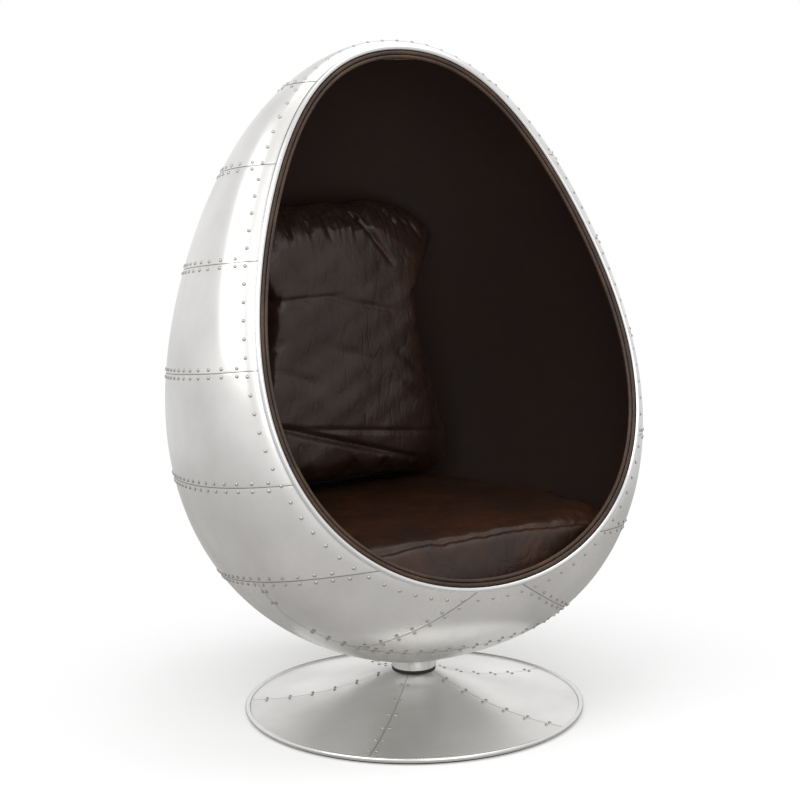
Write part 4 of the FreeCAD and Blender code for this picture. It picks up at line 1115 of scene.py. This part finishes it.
@dataclass(frozen=True)
class Lining:
    """Leather on the inside of the shell, with two piped edges in the opening."""

    egg: Egg = Egg()
    piping_radius: float = 0.0034
    piping_gap: float = 0.00035
    piping_drop: float = 0.001
    lip_radius: float = 0.0045
    lip_outset: float = 0.003
    wall_setback: float = 0.0058
    leather_draw: tuple[float, float, float] = (0.0084, 0.93, 0.075)
    foam_draw: tuple[float, float, float] = (0.0078, 0.985, 0.11)

    def _thin(self, piece: bpy.types.Object, inset: float, share: float, reach: float) -> None:
        """Thins a wall towards the opening, as upholstery is drawn down to the piping.

        The part of a point's depth under the egg that goes beyond the given inset shrinks by the share
        times (1 - way / reach) squared, where the way is the distance behind the wall's edge. Points
        stay in their own plane parallel to the opening, so the wall's edge stays where it is.

        Args:
            piece: the wall.
            inset: depth under the egg that nothing is thinned beyond.
            share: how much of the rest goes at the wall's edge.
            reach: way behind the edge over which the wall comes back to its full thickness.
        """
        points = vertex_array(piece.data)
        ahead = self.egg.opening_normal
        way = self.egg.opening_reach - self.wall_setback - points @ ahead
        direction, depth = self.egg.under(points)
        flat = direction - (direction @ ahead)[:, None] * ahead
        steep = np.maximum(np.sum(flat * flat, axis=1), 0.1)
        move = np.maximum(depth - inset, 0) * share * np.clip(1 - way / reach, 0, 1) ** 2
        write_vertices(piece.data, points + flat * (move / steep)[:, None])

    def build(self, nodes: dict[str, bpy.types.Object], wardrobe: Wardrobe) -> list[bpy.types.Object]:
        """Makes the lining, the foam under it and the two pipings.

        Args:
            nodes: the solids by name.
            wardrobe: the finishes.

        Returns:
            The new pieces.
        """
        pieces = []
        for node, name, slot, least, draw in (
            ("lining_leather", "stretched_lining", "lining_leather", 0.9, self.leather_draw),
            ("lining_foam", "thinned_foam", "upholstery_foam", 0.6, self.foam_draw),
        ):
            wall = smoothed_copy(nodes[node], name, self.egg.outward, least)
            self._thin(wall, *draw)
            wardrobe.dress(wall, slot)
            pieces.append(seated(wall, Body.POD, node))
        outset = self.lip_outset - self.lip_radius - self.piping_gap - self.piping_radius
        for number, node in enumerate(("outer_piping", "inner_piping")):
            place = outset - number * (2 * self.piping_radius + self.piping_gap)
            mesh = rim_tube(node, self.egg, place, (number + 1) * self.piping_drop, self.piping_radius, 14)
            piping = add_object(f"leather_{node}", mesh)
            wardrobe.dress(piping, "piping_leather")
            pieces.append(seated(piping, Body.POD, node))
        return pieces


# Cushions


@dataclass(frozen=True)
class Filling:
    """How a cushion is blown up: a cloth skin with air pressure inside, and a cap on its way."""

    voxel: float
    pressure: float
    frames: int
    cap: float
    quality: int = 5
    mass: float = 0.3
    stiffness: float = 12
    bending: float = 0.6

    def inflate(self, piece: bpy.types.Object) -> None:
        """Remeshes a piece evenly, blows it up and applies the result.

        Args:
            piece: a closed piece, a little smaller than the cushion.
        """
        remesh = piece.modifiers.new("even", "REMESH")
        remesh.mode, remesh.voxel_size = "VOXEL", self.voxel
        even = baked(piece)
        piece.modifiers.remove(remesh)
        piece.data = even
        start = vertex_array(even)
        cloth = piece.modifiers.new("blown", "CLOTH")
        skin = cloth.settings
        skin.quality, skin.mass = self.quality, self.mass
        skin.tension_stiffness = skin.compression_stiffness = self.stiffness
        skin.bending_stiffness = self.bending
        skin.use_pressure, skin.uniform_pressure_force = True, self.pressure
        skin.effector_weights.gravity = 0
        cloth.point_cache.frame_start, cloth.point_cache.frame_end = 1, self.frames
        for frame in range(1, self.frames + 1):
            bpy.context.scene.frame_set(frame)
        blown = vertex_array(baked(piece))
        piece.modifiers.remove(cloth)
        bpy.context.scene.frame_set(1)
        way = blown - start
        size = np.maximum(np.linalg.norm(way, axis=1), TINY)
        start = start + way * np.minimum(1, self.cap / size)[:, None]
        write_vertices(even, start)
        fine = piece.modifiers.new("fine", "SUBSURF")
        fine.levels = fine.render_levels = 1
        mesh = baked(piece)
        piece.modifiers.remove(fine)
        piece.data = mesh
        mesh.polygons.foreach_set("use_smooth", np.ones(len(mesh.polygons), bool))


def point_normals(mesh: bpy.types.Mesh) -> np.ndarray:
    """Direction of a mesh at each vertex."""
    values = np.zeros(len(mesh.vertices) * 3, np.float32)
    mesh.vertex_normals.foreach_get("vector", values)
    return values.reshape(-1, 3).astype(float)


def bell(distance: np.ndarray, width: float) -> np.ndarray:
    """Bell that falls from 1 to a third within the width."""
    return np.exp(-((distance / width) ** 2))


def groove(places: np.ndarray, start: tuple[float, float], end: tuple[float, float], width: float) -> np.ndarray:
    """Depth profile of a straight fold in a plane: a bell across the line that fades at its ends.

    Args:
        places: rows of two coordinates.
        start: first end of the line.
        end: last end of the line.
        width: distance from the line at which the bell has fallen to a third.

    Returns:
        A depth from 0 to 1 at each place.
    """
    first, last = np.array(start), np.array(end)
    way = last - first
    share = np.clip((places - first) @ way / (way @ way), 0, 1)
    near = np.linalg.norm(places - (first + share[:, None] * way), axis=1)
    fade = np.sin(np.pi * np.clip(share, 0.02, 0.98)) ** 0.6
    return bell(near, width) * fade


@dataclass(frozen=True)
class BackCushion:
    """Loose leather back cushion, gathered along its top and slack below.

    The half widths go with the levels. Each fold has its first and last place across and up, the
    half width of its bell and its depth.
    """

    egg: Egg = Egg()
    filling: Filling = Filling(voxel=0.006, pressure=4.0, frames=20, cap=0.022)
    foot: float = 0.350
    top: float = 0.915
    front: float = 0.208
    half_depth: float = 0.056
    lean: float = math.radians(3.0)
    levels: tuple[float, ...] = (0.35, 0.43, 0.46, 0.51, 0.57, 0.65, 0.725, 0.80, 0.845, 0.882, 0.898, 0.908)
    half_widths: tuple[float, ...] = (0.262, 0.256, 0.246, 0.236, 0.222, 0.206, 0.200, 0.222, 0.234, 0.196, 0.168,
                                      0.120)
    rows: int = 72
    columns: int = 96
    end_power: int = 7
    depth_power: int = 4
    section_power: float = 4.2
    clearance: float = 0.0215
    gather_top: float = 0.905
    gather_reach: float = 0.105
    pleats: tuple[float, float] = (0.0185, 0.0117)
    pleat_depth: float = 0.0025
    soft_depth: float = 0.0016
    folds: tuple[tuple[tuple[float, float], tuple[float, float], float, float], ...] = (
        ((0.010, 0.906), (0.101, 0.780), 0.0050, 0.0080),
        ((-0.036, 0.904), (-0.027, 0.826), 0.0045, 0.0065),
        ((-0.078, 0.902), (-0.070, 0.836), 0.0042, 0.0055),
        ((-0.122, 0.890), (-0.112, 0.828), 0.0042, 0.0055),
        ((-0.155, 0.876), (-0.148, 0.820), 0.0042, 0.0040),
        ((0.046, 0.902), (0.069, 0.822), 0.0040, 0.0055),
        ((0.092, 0.896), (0.126, 0.846), 0.0042, 0.0055),
        ((0.142, 0.884), (0.181, 0.816), 0.0045, 0.0055),
        ((-0.055, 0.904), (-0.050, 0.862), 0.0035, 0.0040),
        ((0.028, 0.904), (0.040, 0.850), 0.0035, 0.0045),
        ((-0.098, 0.898), (-0.092, 0.850), 0.0035, 0.0040),
        ((0.116, 0.892), (0.150, 0.846), 0.0035, 0.0040),
        ((-0.230, 0.722), (-0.010, 0.729), 0.0050, 0.0036),
        ((-0.050, 0.728), (0.110, 0.690), 0.0060, 0.0026),
        ((-0.220, 0.515), (0.170, 0.398), 0.0062, 0.0100),
        ((-0.150, 0.494), (0.225, 0.450), 0.0050, 0.0034),
        ((0.110, 0.560), (0.190, 0.500), 0.0070, 0.0035),
        ((0.100, 0.620), (0.170, 0.560), 0.0090, 0.0030),
        ((-0.160, 0.600), (-0.050, 0.560), 0.0110, 0.0030),
        ((-0.060, 0.640), (0.060, 0.600), 0.0120, 0.0025),
    )

    def _form(self) -> bpy.types.Mesh:
        """Slab whose outline follows the widths over the levels, with superellipse sections and ends."""
        rise = np.linspace(-1, 1, self.rows)
        turn = 2 * np.pi * np.arange(self.columns) / self.columns
        height = (self.foot + self.top) / 2 + (self.top - self.foot) / 2 * rise
        end = (1 - np.abs(rise) ** self.end_power) ** (1 / self.end_power)
        width = np.interp(height, self.levels, self.half_widths) * end
        depth = self.half_depth * (1 - np.abs(rise) ** self.depth_power) ** (1 / self.depth_power)
        cos, sin = np.cos(turn), np.sin(turn)
        across = width[:, None] * np.sign(cos) * np.abs(cos) ** (2 / self.section_power)
        back = depth[:, None] * np.sign(sin) * np.abs(sin) ** (2 / self.section_power)
        middle = self.front + self.half_depth + (height - self.foot) * math.tan(self.lean)
        grid = np.stack([across, back + middle[:, None], np.broadcast_to(height[:, None], across.shape)], -1)
        return grid_mesh("back_cushion_form", grid, False, True)

    def _sculpt(self, piece: bpy.types.Object) -> None:
        """Presses the folds that the photograph shows into the front.

        Gathers run down from the top edge and fade over a hand's width, one seam crosses under them,
        and straight folds run over the front. Each moves the skin along its own normal.
        """
        points, normals = vertex_array(piece.data), point_normals(piece.data)
        flat = points[:, [0, 2]]
        x, z = flat[:, 0], flat[:, 1]
        front = np.clip(-normals[:, 1], 0, 1)
        away = np.clip((self.gather_top - z) / self.gather_reach, 0, 1)
        gather = bell(away - 0.10, 0.42)
        phase = x + 0.006 * np.sin(x * 61) + 0.022 * (0.9 - z) * np.sin(x * 23 + 1.0)
        wide, fine = (np.sin(phase * 2 * np.pi / pitch + 1.3 * number) for number, pitch in enumerate(self.pleats))
        move = self.pleat_depth * gather * (wide + 0.6 * fine - 0.6)
        for start, end, width, depth in self.folds:
            move -= depth * groove(flat, start, end, width)
        soft = np.sin(x * 31 + z * 17) * np.sin(z * 27 - x * 9) + 0.5 * np.sin(x * 67 - z * 41) * np.sin(z * 73 + 2)
        move += self.soft_depth * soft
        points = points + normals * (move * front)[:, None]
        write_vertices(piece.data, self.egg.keep_inside(points, self.clearance))

    def build(self, wardrobe: Wardrobe) -> list[bpy.types.Object]:
        """Makes the cushion.

        Args:
            wardrobe: the finishes.

        Returns:
            The new piece.
        """
        piece = add_object("gathered_back_cushion", self._form())
        self.filling.inflate(piece)
        self._sculpt(piece)
        wardrobe.dress(piece, "back_leather")
        return [seated(piece, Body.POD, "back_cushion")]


@dataclass(frozen=True)
class SeatCushion:
    """Leather seat cushion that fills the egg from side to side, with a sewn front edge."""

    egg: Egg = Egg()
    filling: Filling = Filling(voxel=0.008, pressure=4.0, frames=16, cap=0.012)
    weld_reach: float = 0.0002
    shrink: float = 0.008
    clearance: float = 0.0215
    seam_setback: float = 0.012
    seam_width: float = 0.0035
    seam_depth: float = 0.0036
    border_depth: float = 0.0009
    ease_depth: float = 0.0012
    roll_depth: float = 0.0020

    def _sculpt(self, piece: bpy.types.Object) -> None:
        """Presses the front seam and the puckers below it into the cushion, and ripples its top with soft waves."""
        points, normals = vertex_array(piece.data), point_normals(piece.data)
        x, y, z = points[:, 0], points[:, 1], points[:, 2]
        ahead = points @ self.egg.opening_normal
        upward = np.clip(normals[:, 2], 0, 1)
        edge = ahead.max() - self.seam_setback
        seam = bell(ahead - edge, self.seam_width) * np.clip((z - 0.30) / 0.03, 0, 1)
        border = np.clip((ahead - edge) / 0.004, 0, 1) * np.clip((z - 0.25) / 0.03, 0, 1)
        pucker = np.sin(x * 2 * np.pi / 0.150 + 0.6 * np.sin(x * 17)) + 0.25 * np.sin(x * 2 * np.pi / 0.041 + z * 60)
        ease = bell(ahead - edge + 0.022, 0.020)
        pull = np.sin(x * 2 * np.pi / 0.061 + 1.2 * np.sin(x * 29) + 0.4)
        roll = np.sin(x * 19 + 2 * np.sin(y * 13)) * np.sin(y * 21 + x * 6)
        move = self.border_depth * border * pucker - self.seam_depth * seam
        move += (self.ease_depth * ease * pull + self.roll_depth * roll) * upward
        points = points + normals * move[:, None]
        write_vertices(piece.data, self.egg.keep_inside(points, self.clearance))

    def build(self, nodes: dict[str, bpy.types.Object], wardrobe: Wardrobe) -> list[bpy.types.Object]:
        """Makes the cushion from its plain solid.

        Args:
            nodes: the solids by name.
            wardrobe: the finishes.

        Returns:
            The new piece.
        """
        mesh = nodes["seat_cushion"].data.copy()
        mesh.materials.clear()
        piece = add_object("sewn_seat_cushion", mesh)
        weld = piece.modifiers.new("weld", "WELD")
        weld.merge_threshold = self.weld_reach
        even = piece.modifiers.new("even", "REMESH")
        even.mode, even.voxel_size = "VOXEL", self.filling.voxel
        mesh = baked(piece)
        piece.modifiers.clear()
        piece.data = mesh
        write_vertices(mesh, vertex_array(mesh) - point_normals(mesh) * self.shrink)
        self.filling.inflate(piece)
        self._sculpt(piece)
        wardrobe.dress(piece, "seat_leather")
        return [seated(piece, Body.POD, "seat_cushion")]


def dress_nodes(frame: dict[str, object], wardrobe: Wardrobe) -> None:
    """Gives every solid that still shows the material of its slot.

    Args:
        wardrobe: the finishes.
    """
    for row in frame["record"]["subparts"]:
        node = frame["nodes"][row["node"]]
        if node.hide_render:
            continue
        wardrobe.dress(node, row["material_slot"])
        LOG.info("solid %s wears %s, %d faces", row["node"], row["material_slot"], len(node.data.polygons))


def main() -> None:
    """Builds the chair's looks round its solids."""
    logging.basicConfig(level=logging.INFO, format="%(message)s")
    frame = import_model()
    StudioCamera().place()
    Studio().build()
    wardrobe = Wardrobe.open()
    nodes = frame["nodes"]
    made = Pedestal().build(nodes, wardrobe)
    made += PodSkin().build(nodes, wardrobe)
    made += Lining().build(nodes, wardrobe)
    made += BackCushion().build(wardrobe)
    made += SeatCushion().build(nodes, wardrobe)
    for piece in made:
        LOG.info("piece %s, %d faces", piece.name, len(piece.data.polygons))
    dress_nodes(frame, wardrobe)


if __name__ == "__main__":
    main()
